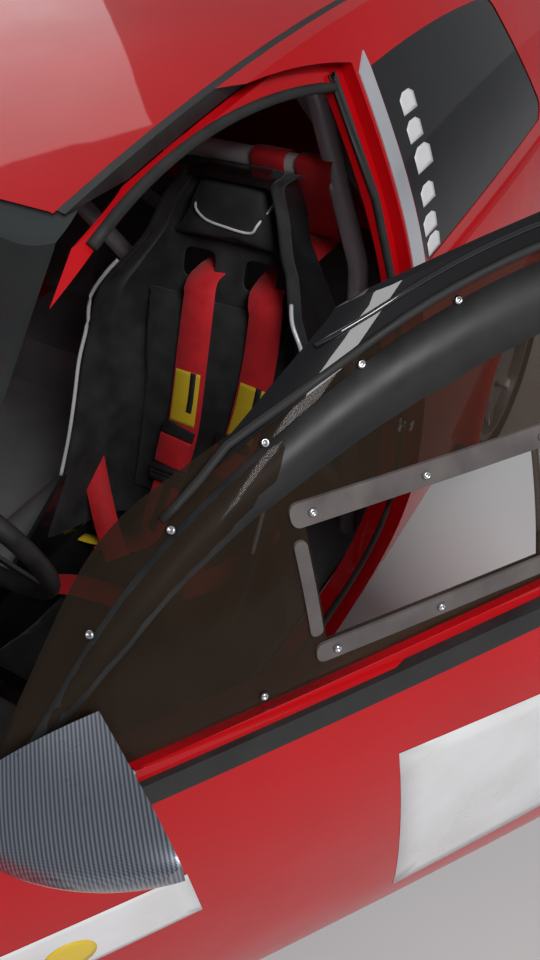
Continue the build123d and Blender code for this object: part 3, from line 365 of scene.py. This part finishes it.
def smooth(points, steps=6, closed=False):
    # a soft line through points
    points = [Vector(p) for p in points]
    count, out = len(points), []
    for k in range(count if closed else count - 1):
        quad = [points[(k + d) % count] if closed else points[min(max(k + d, 0), count - 1)] for d in (-1, 0, 1, 2)]
        for s in range(steps):
            t = s / steps
            out.append(0.5 * (2 * quad[1] + (quad[2] - quad[0]) * t
                              + (2 * quad[0] - 5 * quad[1] + 4 * quad[2] - quad[3]) * t * t
                              + (3 * quad[1] - quad[0] - 3 * quad[2] + quad[3]) * t ** 3))
    return out if closed else out + [points[-1]]


def pipe(name, points, radius, material, body, closed=False, sides=10, flat=1.0):
    # round bead through points, closed at its ends
    bm, count, rings = bmesh.new(), len(points), []
    for k, point in enumerate(points):
        ahead = points[(k + 1) % count] if closed or k < count - 1 else point
        behind = points[k - 1] if closed or k > 0 else point
        run = (ahead - behind).normalized()
        across = run.cross(Vector((0, 0, 1)) if abs(run.z) < 0.9 else Vector((1, 0, 0))).normalized()
        other = run.cross(across)
        rings.append([bm.verts.new(point + (across * math.cos(a) + other * math.sin(a) * flat) * radius)
                      for a in (math.tau * s / sides for s in range(sides))])
    for k in range(count if closed else count - 1):
        here, there = rings[k], rings[(k + 1) % count]
        for s in range(sides):
            bm.faces.new((here[s], here[s - 1], there[s - 1], there[s]))
    if not closed:
        bm.faces.new(rings[0])
        bm.faces.new(rings[-1])
    return meshFrom(name, bm, material, body)


webbing = ((-1, -0.5), (-0.96, 1), (0, 1.15), (0.96, 1), (1, -0.5), (0.96, -1), (0, -0.85), (-0.96, -1))   # its section


def strap(name, points, wide, thick, material, body):
    # flat webbing; each point is a place and the way its width runs
    places = smooth([p for p, _ in points], 5)
    ways = smooth([w for _, w in points], 5)
    bm, last = bmesh.new(), None
    for k, place in enumerate(places):
        run = (places[min(k + 1, len(places) - 1)] - places[max(k - 1, 0)]).normalized()
        across = (ways[k] - run * ways[k].dot(run)).normalized()
        up = run.cross(across) * thick / 2
        row = [bm.verts.new(place + across * wide / 2 * a + up * b) for a, b in webbing]
        if last:
            for s in range(len(row)):
                bm.faces.new((last[s], last[s - 1], row[s - 1], row[s]))
        else:
            bm.faces.new(row)
        last = row
    bm.faces.new(last)
    return meshFrom(name, bm, material, body)


def patch(name, outline, material, body, surface, side=1, place=None, lift=0.0007, rings=6, perEdge=8):
    # thin sheet stuck on a side wall; outline is (y, z) round a convex shape
    middle = [sum(p[k] for p in outline) / len(outline) for k in (0, 1)]
    edge = [(y0 + (y1 - y0) * k / perEdge, z0 + (z1 - z0) * k / perEdge)
            for (y0, z0), (y1, z1) in zip(outline, outline[1:] + outline[:1]) for k in range(perEdge)]
    bm = bmesh.new()

    def corner(share, y, z):
        y, z = middle[0] + (y - middle[0]) * share, middle[1] + (z - middle[1]) * share
        spot, _ = onSide(surface, y, z, side, lift)
        return bm.verts.new(place(spot) if place else spot)

    centre, last = corner(0, *middle), None
    for ring in range(1, rings + 1):
        row = [corner(ring / rings, y, z) for y, z in edge]
        for k in range(len(row)):
            if last:
                bm.faces.new((last[k - 1], row[k - 1], row[k], last[k]))
            else:
                bm.faces.new((centre, row[k - 1], row[k]))
        last = row
    obj = meshFrom(name, bm, material, body)
    modify(obj, "SOLIDIFY", thickness=0.0006, offset=0)
    return obj


def lathe(bm, profile, spot, axis, sides=16):
    # turns (radius, height) pairs about an axis at a spot, into bm
    axis = Vector(axis).normalized()
    across = axis.orthogonal().normalized()
    other = axis.cross(across)
    rings = []
    for radius, height in profile:
        centre = Vector(spot) + axis * height
        rings.append([bm.verts.new(centre + (across * math.cos(a) + other * math.sin(a)) * radius)
                      for a in (math.tau * s / sides for s in range(sides))])
    for here, there in zip(rings, rings[1:]):
        for s in range(sides):
            bm.faces.new((here[s - 1], here[s], there[s], there[s - 1]))
    bm.faces.new(rings[-1])
    bm.faces.new(rings[0])


def bolts(name, spots, radius, height, material, body):
    # domed bolt heads with a recess, one mesh; spots are (place, facing)
    bm = bmesh.new()
    for spot, facing in spots:
        lathe(bm, [(radius, 0), (radius, height * 0.45), (radius * 0.8, height * 0.85), (radius * 0.45, height),
                   (radius * 0.4, height * 0.55), (radius * 0.05, height * 0.5)], spot, facing, 12)
    return meshFrom(name, bm, material, body)


def arcThrough(a, b, c, count):
    # points along the arc from a through b to c
    ax, ay, bx, by, cx, cy = *a, *b, *c
    d = 2 * (ax * (by - cy) + bx * (cy - ay) + cx * (ay - by))
    ux = ((ax * ax + ay * ay) * (by - cy) + (bx * bx + by * by) * (cy - ay) + (cx * cx + cy * cy) * (ay - by)) / d
    uy = ((ax * ax + ay * ay) * (cx - bx) + (bx * bx + by * by) * (ax - cx) + (cx * cx + cy * cy) * (bx - ax)) / d
    radius = math.hypot(ax - ux, ay - uy)
    first, last = math.atan2(ay - uy, ax - ux), math.atan2(cy - uy, cx - ux)
    return [(ux + radius * math.cos(first + (last - first) * k / count),
             uy + radius * math.sin(first + (last - first) * k / count)) for k in range(count + 1)]


# door outline, side view of the shut door, as in the part
doorEdge = {"sail": (0.470, 0.930), "top": (1.000, 1.262), "end": (1.590, 1.274), "rear": 1.616, "foot": 0.262,
            "corner": 0.250}


def moved(points, inset, closed=False):
    # a (y, z) line moved to its right-hand side
    out = []
    for k, (y, z) in enumerate(points):
        after = points[(k + 1) % len(points)] if closed or k < len(points) - 1 else points[k]
        before = points[k - 1] if closed or k > 0 else points[k]
        dy, dz = after[0] - before[0], after[1] - before[1]
        size = math.hypot(dy, dz) or 1
        out.append((y + dz / size * inset, z - dy / size * inset))
    return out


# from the sail up and back below the roof
frameArc = arcThrough(doorEdge["sail"], doorEdge["top"], doorEdge["end"], 40)
rearFoot = [(doorEdge["rear"] - doorEdge["corner"] * (1 - math.cos(a)),
             doorEdge["foot"] + doorEdge["corner"] * (1 - math.sin(a))) for a in (math.radians(9 * k) for k in range(11))]
wholeDoor = (frameArc + [(doorEdge["end"][0] + 0.006 * k, doorEdge["end"][1] - 0.19 * k) for k in (1, 2, 3)]
             + rearFoot + [(y, doorEdge["foot"]) for y in (1.2, 1.0, 0.8, 0.6)]
             + [(0.43, doorEdge["foot"]), (0.397, 0.275), (0.385, 0.307), (0.385, 0.5), (0.385, 0.7), (0.385, 0.87)])

# left door, in the place it has when shut, then turned to where it stands
doorWall = surfaceOf("door_left", place=shut)
doorPane = surfaceOf("door_left_window", place=shut)
doorRails = surfaceOf("door_left_slider", place=shut)
doorBody = "door_left_body"
doorBits = {
    "seals": ((0.004, 0.0035), (0.013, 0.0028), (0.030, 0.0042)),   # inset and radius of the lines round the frame
    "border": (0.033, 0.047), "boltInset": 0.046, "boltRadius": 0.0048,
    "panel": [(0.945, 0.771), (0.974, 0.363), (1.424, 0.405), (1.400, 0.752)],
    "sticker": [(0.430, 0.716), (0.679, 0.719), (0.687, 0.622), (0.430, 0.612)],
    "spot": (0.535, 0.655, 0.030),
    "sail": [(0.655, 0.998), (0.634, 0.981), (0.641, 0.955), (0.668, 0.955)], "sailBolt": (0.647, 0.990),
    "slidingPane": (1.146, 1.392, 0.9635, 1.0845),
    "railBolts": (0.885, 1.010, 1.150, 1.290, 1.385), "railHeights": (0.951, 1.097),
}


def doorLine(inset, lift, first=1, last=-1):
    return [turned(point) for point in alongWall(doorWall, moved(frameArc[first:last], inset), 1, lift)]


for number, (inset, radius) in enumerate(doorBits["seals"], 1):
    pipe(f"door_left_frame_seal_{number}", doorLine(inset, radius * 0.6), radius,
         glossBlack if number < 3 else rubber, doorBody)
bm, last = bmesh.new(), None
for outer, inner in zip(moved(frameArc[1:-1], doorBits["border"][0]), moved(frameArc[1:-1], doorBits["border"][1])):
    row = [bm.verts.new(turned(onSide(doorPane, y, z, 1, 0.0009)[0])) for y, z in (outer, inner)]
    if last:
        bm.faces.new((last[0], last[1], row[1], row[0]))
    last = row
border = meshFrom("door_left_pane_border", bm, blackPlastic, doorBody)
modify(border, "SOLIDIFY", thickness=0.0008, offset=0)
paneBolts = [onSide(doorPane, y, z, 1, 0.001) for y, z in moved(frameArc[3:38:4], doorBits["boltInset"])]
paneBolts += [onSide(doorPane, y, belt["foot"] + belt["rise"] * (y - 1) + 0.012, 1, 0.001) for y in (0.62, 0.8, 1.5)]
railBolts = [onSide(doorRails, y, z, 1, 0.0) for y in doorBits["railBolts"] for z in doorBits["railHeights"]]
for name, spots in (("door_left_pane_bolts", paneBolts), ("door_left_rail_bolts", railBolts)):
    shown = [(turned(spot), turned(spot + facing) - turned(spot)) for spot, facing in spots]
    bolts(name, shown, doorBits["boltRadius"], 0.004, steelBright, doorBody)
y0, y1, z0, z1 = doorBits["slidingPane"]
patch("door_left_sliding_pane", [(y0, z0), (y0, z1), (y1, z1), (y1, z0)], smokedSheet, doorBody, doorPane,
      1, turned, 0.0016)
paneEdge = [turned(onSide(doorPane, y0, z0 + (z1 - z0) * k / 8, 1, 0.0016)[0]) for k in range(9)]
pipe("door_left_sliding_pane_edge", paneEdge, 0.0018, clearPlastic, doorBody)
patch("door_left_start_panel", doorBits["panel"], stickerWhite, doorBody, doorWall, 1, turned)
patch("door_left_sticker", doorBits["sticker"], stickerWhite, doorBody, doorWall, 1, turned)
sy, sz, sr = doorBits["spot"]
patch("door_left_sticker_spot", [(sy + sr * math.cos(math.tau * k / 24), sz + sr * math.sin(math.tau * k / 24))
                                 for k in range(24)], stickerYellow, doorBody, doorWall, 1, turned, 0.0013, 3, 1)
patch("door_left_sail", doorBits["sail"], bodyRed, doorBody, doorWall, 1, turned, 0.0012)
bolts("door_left_sail_bolt", [(turned(onSide(doorWall, *doorBits["sailBolt"], 1, 0.001)[0]), (0.8, -0.5, 0.2))],
      0.006, 0.004, steelBright, doorBody)
print("left door dressed")

# body side beside the open door
leftSide = surfaceOf("side_frame_left")
sideBits = {"sealInset": 0.030, "sealRadius": 0.0075, "ribs": ((0.010, 0.003), (0.018, 0.0025)),
            "striker": (0.745, 1.598, 0.633)}
for side, sideName in ((1, "left"), (-1, "right")):
    wall = leftSide if side > 0 else surfaceOf("side_frame_right")
    ringLine = moved(wholeDoor, sideBits["sealInset"], True)
    ringLine = ringLine[20:] + ringLine[:20]   # starts at the top, so that a gap at the pillar leaves one run
    ring = alongWall(wall, ringLine, side, 0.004)
    pipe(f"door_seal_{sideName}", ring, sideBits["sealRadius"], rubber, "body", closed=len(ring) == len(ringLine))
    for number, (inset, radius) in enumerate(sideBits["ribs"], 1):
        rib = [onSide(wall, y, z, side, 0.0)[0] for y, z in moved(wholeDoor, inset, True)[41:54]]
        pipe(f"jamb_rib_{sideName}_{number}", smooth(rib, 3), radius, bodyRed, "body", flat=0.7)
    sx, sy, sz = sideBits["striker"]
    spot, facing = meet(wall, (side * 1.05, 1.25, 0.80), (side * (sx - 1.05), sy - 1.25, sz - 0.80), 0.001)
    bm = bmesh.new()
    lathe(bm, [(0.022, 0), (0.022, 0.003), (0.019, 0.005), (0.008, 0.005), (0.008, 0.018), (0.013, 0.019),
               (0.013, 0.023), (0.010, 0.025)], spot, facing, 20)
    meshFrom(f"door_striker_{sideName}", bm, steelBright, "body")

# stickers on the left quarter glass, blank
quarter = surfaceOf("quarter_glass")
stickers = [(1.736, 1.188), (1.731, 1.145), (1.738, 1.099), (1.724, 1.043), (1.712, 0.995), (1.716, 0.958)]
for number, (y, z) in enumerate(stickers, 1):
    w, h = (0.029, 0.016) if number != 3 else (0.035, 0.019)
    shape = [(y - w, z - h), (y + w, z - h), (y + w, z + h * 0.5), (y + w * 0.45, z + h), (y - w * 0.45, z + h),
             (y - w, z + h * 0.5)]
    patch(f"quarter_sticker_{number}", shape, stickerWhite, "body", quarter, 1, None, 0.0008, 3, 2)
print("left side dressed")

# seat: a cloth cover over the shell, three pads on it
seat = {"x": 0.385, "y": 1.362, "z": 0.300, "lean": 20.0, "skin": 0.006}
shell = surfaceOf("seat_shell")


def seatPoint(across, along, out):
    # across from the seat's middle, up its back, and ahead of it
    lean = math.radians(seat["lean"])
    return Vector((seat["x"] + across, seat["y"] + along * math.sin(lean) - out * math.cos(lean),
                   seat["z"] + along * math.cos(lean) + out * math.sin(lean)))


wings = [(0.02, 0.24), (0.18, 0.175), (0.33, 0.150), (0.47, 0.118), (0.58, 0.112), (0.65, 0.074), (0.74, 0.066),
         (0.815, 0.044)]   # height up the back, and how far the side wings stand out there


def wingAt(along):
    for (a0, w0), (a1, w1) in zip(wings, wings[1:]):
        if along <= a1:
            return w0 + (w1 - w0) * max(0.0, (along - a0) / (a1 - a0))
    return wings[-1][1]


def roomAt(along, out):
    # half width inside the shell
    spot, _, _, reach = shell.ray_cast(seatPoint(0, along, out), Vector((1, 0, 0)))
    return reach if spot is not None and reach < 0.26 else 0.232


stations = [0.03, 0.07, 0.12, 0.18, 0.25, 0.32, 0.39, 0.45, 0.51, 0.55, 0.585, 0.592, 0.622, 0.650, 0.657, 0.68, 0.71,
            0.74, 0.77, 0.795, 0.808]
coverRows = []
for along in stations:
    wing, half = wingAt(along), roomAt(along, 0.02)
    lip = min(roomAt(along, wing - 0.02), half + 0.02)
    neck = 1.0 if along > 0.57 else 0.0
    row = [(0.0, 0.010), (0.026, 0.010), (0.034, 0.010), (0.070, 0.011), (0.106, 0.012), (0.114, 0.013),
           (max(half - 0.046, 0.116 + 0.2 * (half - 0.116)), 0.016), (half - 0.020, 0.030),
           (half - 0.010, 0.052 - 0.02 * neck),
           (lip - 0.010, wing * 0.62), (lip - 0.010, wing - 0.012), (lip - 0.003, wing + 0.004),
           (lip + 0.006, wing + 0.007), (lip + 0.0145, wing - 0.004), (lip + 0.0155, wing - 0.020)]
    if half < 0.13:
        shrink = half / 0.15
        row = [(a * shrink if k < 7 else a, o) for k, (a, o) in enumerate(row)]
    coverRows.append([seatPoint(-a, along, o) for a, o in reversed(row[1:])]
                     + [seatPoint(a, along, o) for a, o in row])
coverRows.append([p + Vector((0, 0.012, 0.010)) for p in coverRows[-1]])
coverRows.append([p + Vector((0, 0.030, -0.004)) for p in coverRows[-2]])
bm = bmesh.new()
grid = [[bm.verts.new(p) for p in row] for row in coverRows]
columns, centreCol = len(grid[0]), len(grid[0]) // 2
for i in range(len(grid) - 1):
    for j in range(columns - 1):
        slot = 11 <= i <= 12 and (centreCol + 2 <= j <= centreCol + 3 or centreCol - 4 <= j <= centreCol - 3)
        if not slot:
            bm.faces.new((grid[i][j], grid[i][j + 1], grid[i + 1][j + 1], grid[i + 1][j]))
cover = meshFrom("seat_cover", bm, seatVelour, "body")
modify(cover, "SOLIDIFY", thickness=seat["skin"], offset=-1 if cover.data.polygons[0].normal.y < 0 else 1)
modify(cover, "SUBSURF", levels=2, render_levels=2)


def pad(name, spanAlong, widthAt, out, thick, place, rows=14, cols=14, crown=0.4):
    # crowned closed cushion whose sides pull in between its corners
    bm, front, back = bmesh.new(), [], []
    for i in range(rows + 1):
        v = i / rows
        along = spanAlong[0] + (spanAlong[1] - spanAlong[0]) * v
        endPull = 1 - (2 * v - 1) ** 6
        front.append([])
        back.append([])
        for j in range(cols + 1):
            u = 2 * j / cols - 1
            edge = (1 - abs(u) ** 5) * endPull
            half = widthAt(along) * (1 - 0.03 * math.sin(math.pi * v))
            height = out + thick * (0.35 + 0.65 * edge ** 0.5) + thick * crown * (1 - u * u) * math.sin(math.pi * v)
            front[-1].append(bm.verts.new(place(u * half, along, height)))
            back[-1].append(bm.verts.new(place(u * half, along, out)))
    for layer in (front, back):
        for i in range(rows):
            for j in range(cols):
                bm.faces.new((layer[i][j], layer[i][j + 1], layer[i + 1][j + 1], layer[i + 1][j]))
    rim = lambda g: ([g[0][j] for j in range(cols + 1)] + [g[i][cols] for i in range(1, rows + 1)]
                     + [g[rows][j] for j in range(cols - 1, -1, -1)] + [g[i][0] for i in range(rows - 1, 0, -1)])
    a, b = rim(front), rim(back)
    for k in range(len(a)):
        bm.faces.new((a[k - 1], a[k], b[k], b[k - 1]))
    obj = meshFrom(name, bm, seatVelour, "body")
    fill(obj)
    modify(obj, "SUBSURF", levels=1, render_levels=1)
    return obj


def fill(obj, voxel=0.006, pressure=4.0, cap=0.008):
    # lets the cloth swell, then holds each point to the cap
    scene.view_layers[0].update()
    modify(obj, "REMESH", mode="VOXEL", voxel_size=voxel)
    bake(obj)
    before = [v.co.copy() for v in obj.data.vertices]
    cloth = modify(obj, "CLOTH")
    cloth.settings.use_pressure = True
    cloth.settings.uniform_pressure_force = pressure
    cloth.settings.effector_weights.gravity = 0
    cloth.point_cache.frame_start, cloth.point_cache.frame_end = 1, 20
    for number in range(1, 21):
        scene.frame_set(number)
    bake(obj)
    scene.frame_set(1)
    for vertex, was in zip(obj.data.vertices, before):
        step = vertex.co - was
        if step.length > cap:
            vertex.co = was + step * (cap / step.length)


def bake(obj):
    # the modifiers' result becomes the mesh
    evaluated = obj.evaluated_get(bpy.context.evaluated_depsgraph_get())
    mesh = bpy.data.meshes.new_from_object(evaluated)
    obj.modifiers.clear()
    obj.data = mesh
    for face in mesh.polygons:
        face.use_smooth = True


def backHalf(along):
    return min(0.190, roomAt(along, 0.02) - 0.045)


def headHalf(along):
    return max(0.075, roomAt(along, 0.02) - 0.018)


padBack = pad("seat_back_pad", (0.10, 0.565), backHalf, 0.012, 0.022, seatPoint)
padHead = pad("seat_head_pad", (0.668, 0.800), headHalf, 0.011, 0.022, seatPoint, 12, 14, 0.25)
pad("seat_thigh_pad", (0.895, 1.325), lambda y: 0.195, 0.276, 0.040,
    lambda a, y, h: Vector((seat["x"] + a, y, h + 0.02 * max(0.0, (1.0 - y) / 0.1))))
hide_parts("seat_pads")
piping = [(-0.083, 0.770), (-0.070, 0.735), (-0.046, 0.713), (0.0, 0.706), (0.055, 0.704), (0.070, 0.722),
          (0.084, 0.760), (0.100, 0.790)]
headFace = BVHTree.FromObject(padHead, bpy.context.evaluated_depsgraph_get())
pipingLine = [meet(headFace, seatPoint(a, along, 0.2), seatPoint(a, along, 0) - seatPoint(a, along, 0.2), 0.0008)[0]
              for a, along in piping]
pipe("seat_head_piping", smooth(pipingLine, 5), 0.0026, pipingWhite, "body")
# pale beads along the shell's side rims: a painted highlight of the light on the gloss edge
for side in (1, -1):
    bead = [seatPoint(side * (min(roomAt(a, wingAt(a) - 0.02), 0.25) + 0.010), a, wingAt(a) + 0.011)
            for a in (0.16, 0.24, 0.32, 0.40, 0.47, 0.53, 0.58, 0.61)]
    pipe(f"seat_rim_{'left' if side > 0 else 'right'}", smooth(bead, 5), 0.004, rimPaintedHighlight, "body")
print("seat done")

# shoulder belts: columns are across, along, out, and how the width turns
backFace = [seatPoint(1, 0, 0) - seatPoint(0, 0, 0), seatPoint(0, 0, 1) - seatPoint(0, 0, 0)]


def beltRun(rows):
    return [(seatPoint(a, along, out),
             backFace[0] * math.cos(math.radians(turn)) + backFace[1] * math.sin(math.radians(turn)))
            for a, along, out, turn in rows]


belts = {
    "wide": 0.075, "thick": 0.0022,
    "right": [(0.010, 0.70, -0.14, 0), (-0.030, 0.635, -0.030, 6), (-0.044, 0.612, 0.006, 10),
              (-0.044, 0.592, 0.034, 10), (-0.036, 0.560, 0.050, 4), (-0.035, 0.459, 0.054, 0),
              (-0.035, 0.302, 0.058, -2), (-0.046, 0.214, 0.064, -4), (-0.050, 0.165, 0.070, -4)],
    "left": [(0.120, 0.70, -0.14, 0), (0.100, 0.635, -0.030, 6), (0.096, 0.612, 0.006, 10), (0.102, 0.592, 0.034, 10),
             (0.116, 0.555, 0.050, 4), (0.118, 0.459, 0.054, 2), (0.111, 0.353, 0.058, 0), (0.103, 0.301, 0.060, -2),
             (0.088, 0.230, 0.066, -4), (0.078, 0.180, 0.072, -4)],
}
loops = {
    "right": [(-0.052, 0.172, 0.066, 0), (-0.058, 0.120, 0.078, 4), (-0.066, 0.060, 0.096, 14),
              (-0.085, 0.030, 0.112, 40), (-0.120, 0.012, 0.125, 66), (-0.165, 0.006, 0.135, 78)],
    "left": [(0.078, 0.184, 0.068, 0), (0.070, 0.120, 0.080, -4), (0.060, 0.060, 0.100, -12),
             (0.050, 0.020, 0.130, -20), (0.040, 0.002, 0.180, -30)],
}
for sideName, at in (("right", (-0.050, 0.186)), ("left", (0.082, 0.200))):
    strap(f"belt_{sideName}", beltRun(belts[sideName]), belts["wide"], belts["thick"], beltRed, "body")
    a, along = at
    folded = [(a + 0.006, along + 0.085, 0.066, -3), (a + 0.003, along + 0.05, 0.070, -3), (a, along + 0.02, 0.071, -3)]
    strap(f"belt_{sideName}_fold", beltRun(folded), 0.078, 0.004, beltRed, "body")
    band = [(a + 0.010, along + 0.112, 0.064, -3), (a + 0.008, along + 0.100, 0.065, -3),
            (a + 0.007, along + 0.088, 0.0655, -3)]
    strap(f"belt_{sideName}_band", beltRun(band), 0.078, 0.003, beltBlack, "body")
    strap(f"belt_{sideName}_loop", beltRun(loops[sideName]), 0.070, 0.0022, beltRed, "body")
    strip = [(p[0] + 0.004, p[1], p[2] + 0.0025, p[3]) for p in loops[sideName][:3]]
    strap(f"belt_{sideName}_loop_strip", beltRun(strip), 0.020, 0.002, beltBlack, "body")
    label = [(p[0] - 0.002, p[1], p[2] + 0.0022, p[3]) for p in (
        [(-0.036, 0.415, 0.0548, 0), (-0.0355, 0.360, 0.0562, -1), (-0.036, 0.302, 0.0580, -2)] if at[0] < 0 else
        [(0.1165, 0.425, 0.0550, 1), (0.112, 0.365, 0.0575, 0), (0.104, 0.308, 0.0600, -2)])]
    strap(f"belt_{sideName}_label", beltRun(label), 0.060, 0.0012, stickerYellow, "body")
    bar = [(p[0] + 0.014, p[1], p[2] + 0.001, p[3]) for p in label]
    bar = [bar[0], bar[1], (bar[2][0], bar[2][1] + 0.03, bar[2][2], bar[2][3])]
    strap(f"belt_{sideName}_label_bar", beltRun(bar), 0.013, 0.0010, beltBlack, "body")
    bm = bmesh.new()
    for offset, deep in ((0.012, 0.008), (-0.012, 0.008), (0.0, 0.005)):
        here = [seatPoint(a + w, along + offset, 0.074) for w in (-0.043, 0.043)]
        bar = [(deep * 0.7, 0), (deep, 0.002), (deep, 0.084), (deep * 0.7, 0.086)]
        lathe(bm, bar, here[0], here[1] - here[0], 10)
    for w in (-0.041, 0.041):
        here = [seatPoint(a + w, along + o, 0.074) for o in (-0.018, 0.018)]
        lathe(bm, [(0.003, 0), (0.005, 0.002), (0.005, 0.034), (0.003, 0.036)], here[0], here[1] - here[0], 8)
    meshFrom(f"belt_{sideName}_adjuster", bm, bracketSteel, "body")
tip = [(-0.160, 0.006, 0.134, 78), (-0.185, 0.004, 0.140, 80), (-0.212, 0.004, 0.146, 82)]
strap("belt_pull_end", beltRun(tip), 0.034, 0.003, stickerYellow, "body")

# behind the seat the belts run back to the tube across the hoop
rearRuns = {"right": ((0.010, 0.70, -0.14), (0.430, 1.660, 1.070)),
            "left": ((0.120, 0.70, -0.14), (0.525, 1.660, 1.070))}
for sideName, (start, end) in rearRuns.items():
    here = seatPoint(*start)
    end = Vector(end)
    middle = (here + end) / 2 + Vector((0, 0, -0.012))
    wrap = [end + Vector((0, 0.018, 0.024)), end + Vector((0, 0.040, 0.004)), end + Vector((0, 0.022, -0.026))]
    run = [here, middle, end + Vector((0, -0.012, 0.010)), *wrap]
    strap(f"belt_{sideName}_rear", [(p, Vector((1, 0, 0))) for p in run], 0.072, 0.0024, beltRed, "body")

# lap belts over the cushion
laps = {
    "lap_belt_right": [((0.150, 1.330, 0.500), (0.1, 0.9, 0.5)), ((0.190, 1.290, 0.445), (0.1, 0.9, 0.5)),
                       ((0.240, 1.245, 0.400), (0.2, 0.9, 0.4)), ((0.300, 1.200, 0.372), (0.3, 0.9, 0.2))],
    "lap_belt_end": [((0.205, 1.060, 0.372), (-0.35, 0.9, 0)), ((0.262, 1.085, 0.384), (-0.35, 0.9, 0.05)),
                     ((0.330, 1.110, 0.372), (-0.3, 0.9, 0.1)), ((0.385, 1.130, 0.352), (-0.3, 0.9, 0))],
    "lap_belt_left": [((0.620, 1.330, 0.500), (-0.1, 0.9, 0.5)), ((0.582, 1.290, 0.445), (-0.1, 0.9, 0.5)),
                      ((0.530, 1.240, 0.400), (-0.2, 0.9, 0.4)), ((0.470, 1.195, 0.370), (-0.3, 0.9, 0.2))],
}
for name, points in laps.items():
    strap(name, [(Vector(p), Vector(w)) for p, w in points], 0.052, 0.0026, beltRed, "body")
lapRing = {"middle": Vector((0.212, 1.052, 0.376)), "radius": 0.019, "steps": 20}
ring = [lapRing["middle"] + Vector((math.cos(a), math.sin(a), 0)) * lapRing["radius"]
        for a in (math.tau * k / lapRing["steps"] for k in range(lapRing["steps"]))]
pipe("lap_belt_ring", ring, 0.003, steelBright, "body", closed=True)
print("belts done")

# camera, where the photographer stood
shot = {"place": (1.238, 0.342, 1.647), "heading": 122.56, "pitch": -41.20, "roll": -2.71,
        "focal": 835.0, "height": 960}
camData = bpy.data.cameras.new("shotCamera")
camData.sensor_fit = "VERTICAL"
camData.sensor_height = 36.0
camData.lens = shot["focal"] / shot["height"] * camData.sensor_height
camData.clip_start = 0.02
camera = bpy.data.objects.new("shotCamera", camData)
scene.collection.objects.link(camera)
heading, pitch, roll = (math.radians(shot[k]) for k in ("heading", "pitch", "roll"))
ahead = Vector((math.cos(pitch) * math.cos(heading), math.cos(pitch) * math.sin(heading), math.sin(pitch)))
right = ahead.cross(Vector((0, 0, 1))).normalized()
upward = right.cross(ahead)
right, upward = (right * math.cos(roll) + upward * math.sin(roll), upward * math.cos(roll) - right * math.sin(roll))
camera.matrix_world = Matrix.Translation(shot["place"]) @ Matrix((right, upward, -ahead)).transposed().to_4x4()
scene.camera = camera

# studio
studio = {"floor": 60.0, "sky": 0.26, "key": (400.0, (5.5, -1.5, 6.0), 3.0), "fill": (130.0, (-6.0, 5.0, 5.0), 5.0)}
floorMat, floorTree, floorBsdf = shader("paleFloor")
floorTree.links.new(blendColours(floorTree, mottle(floorTree, 0.8), (0.62, 0.62, 0.62), (0.66, 0.66, 0.66)),
                    floorBsdf.inputs["Base Color"])
floorBsdf.inputs["Roughness"].default_value = 0.8
floorMesh = bpy.data.meshes.new("studioFloor")
half = studio["floor"] / 2
floorMesh.from_pydata([(-half, -half, 0), (half, -half, 0), (half, half, 0), (-half, half, 0)], [], [(0, 1, 2, 3)])
floorObj = bpy.data.objects.new("studioFloor", floorMesh)
scene.collection.objects.link(floorObj)
floorObj.data.materials.append(floorMat)
world = bpy.data.worlds.new("studioSky")
scene.world = world
world.use_nodes = True
world.node_tree.nodes["Background"].inputs[0].default_value = (0.93, 0.95, 1.0, 1)
world.node_tree.nodes["Background"].inputs[1].default_value = studio["sky"]
for lampName in ("key", "fill"):
    power, place, size = studio[lampName]
    lampData = bpy.data.lights.new(lampName, "AREA")
    lampData.energy, lampData.size = power, size
    lamp = bpy.data.objects.new(lampName, lampData)
    scene.collection.objects.link(lamp)
    lamp.location = place
    lamp.rotation_euler = (Vector((0.2, 1.0, 0.6)) - Vector(place)).to_track_quat("-Z", "Y").to_euler()
scene.view_settings.view_transform = "Standard"
print("camera and studio")
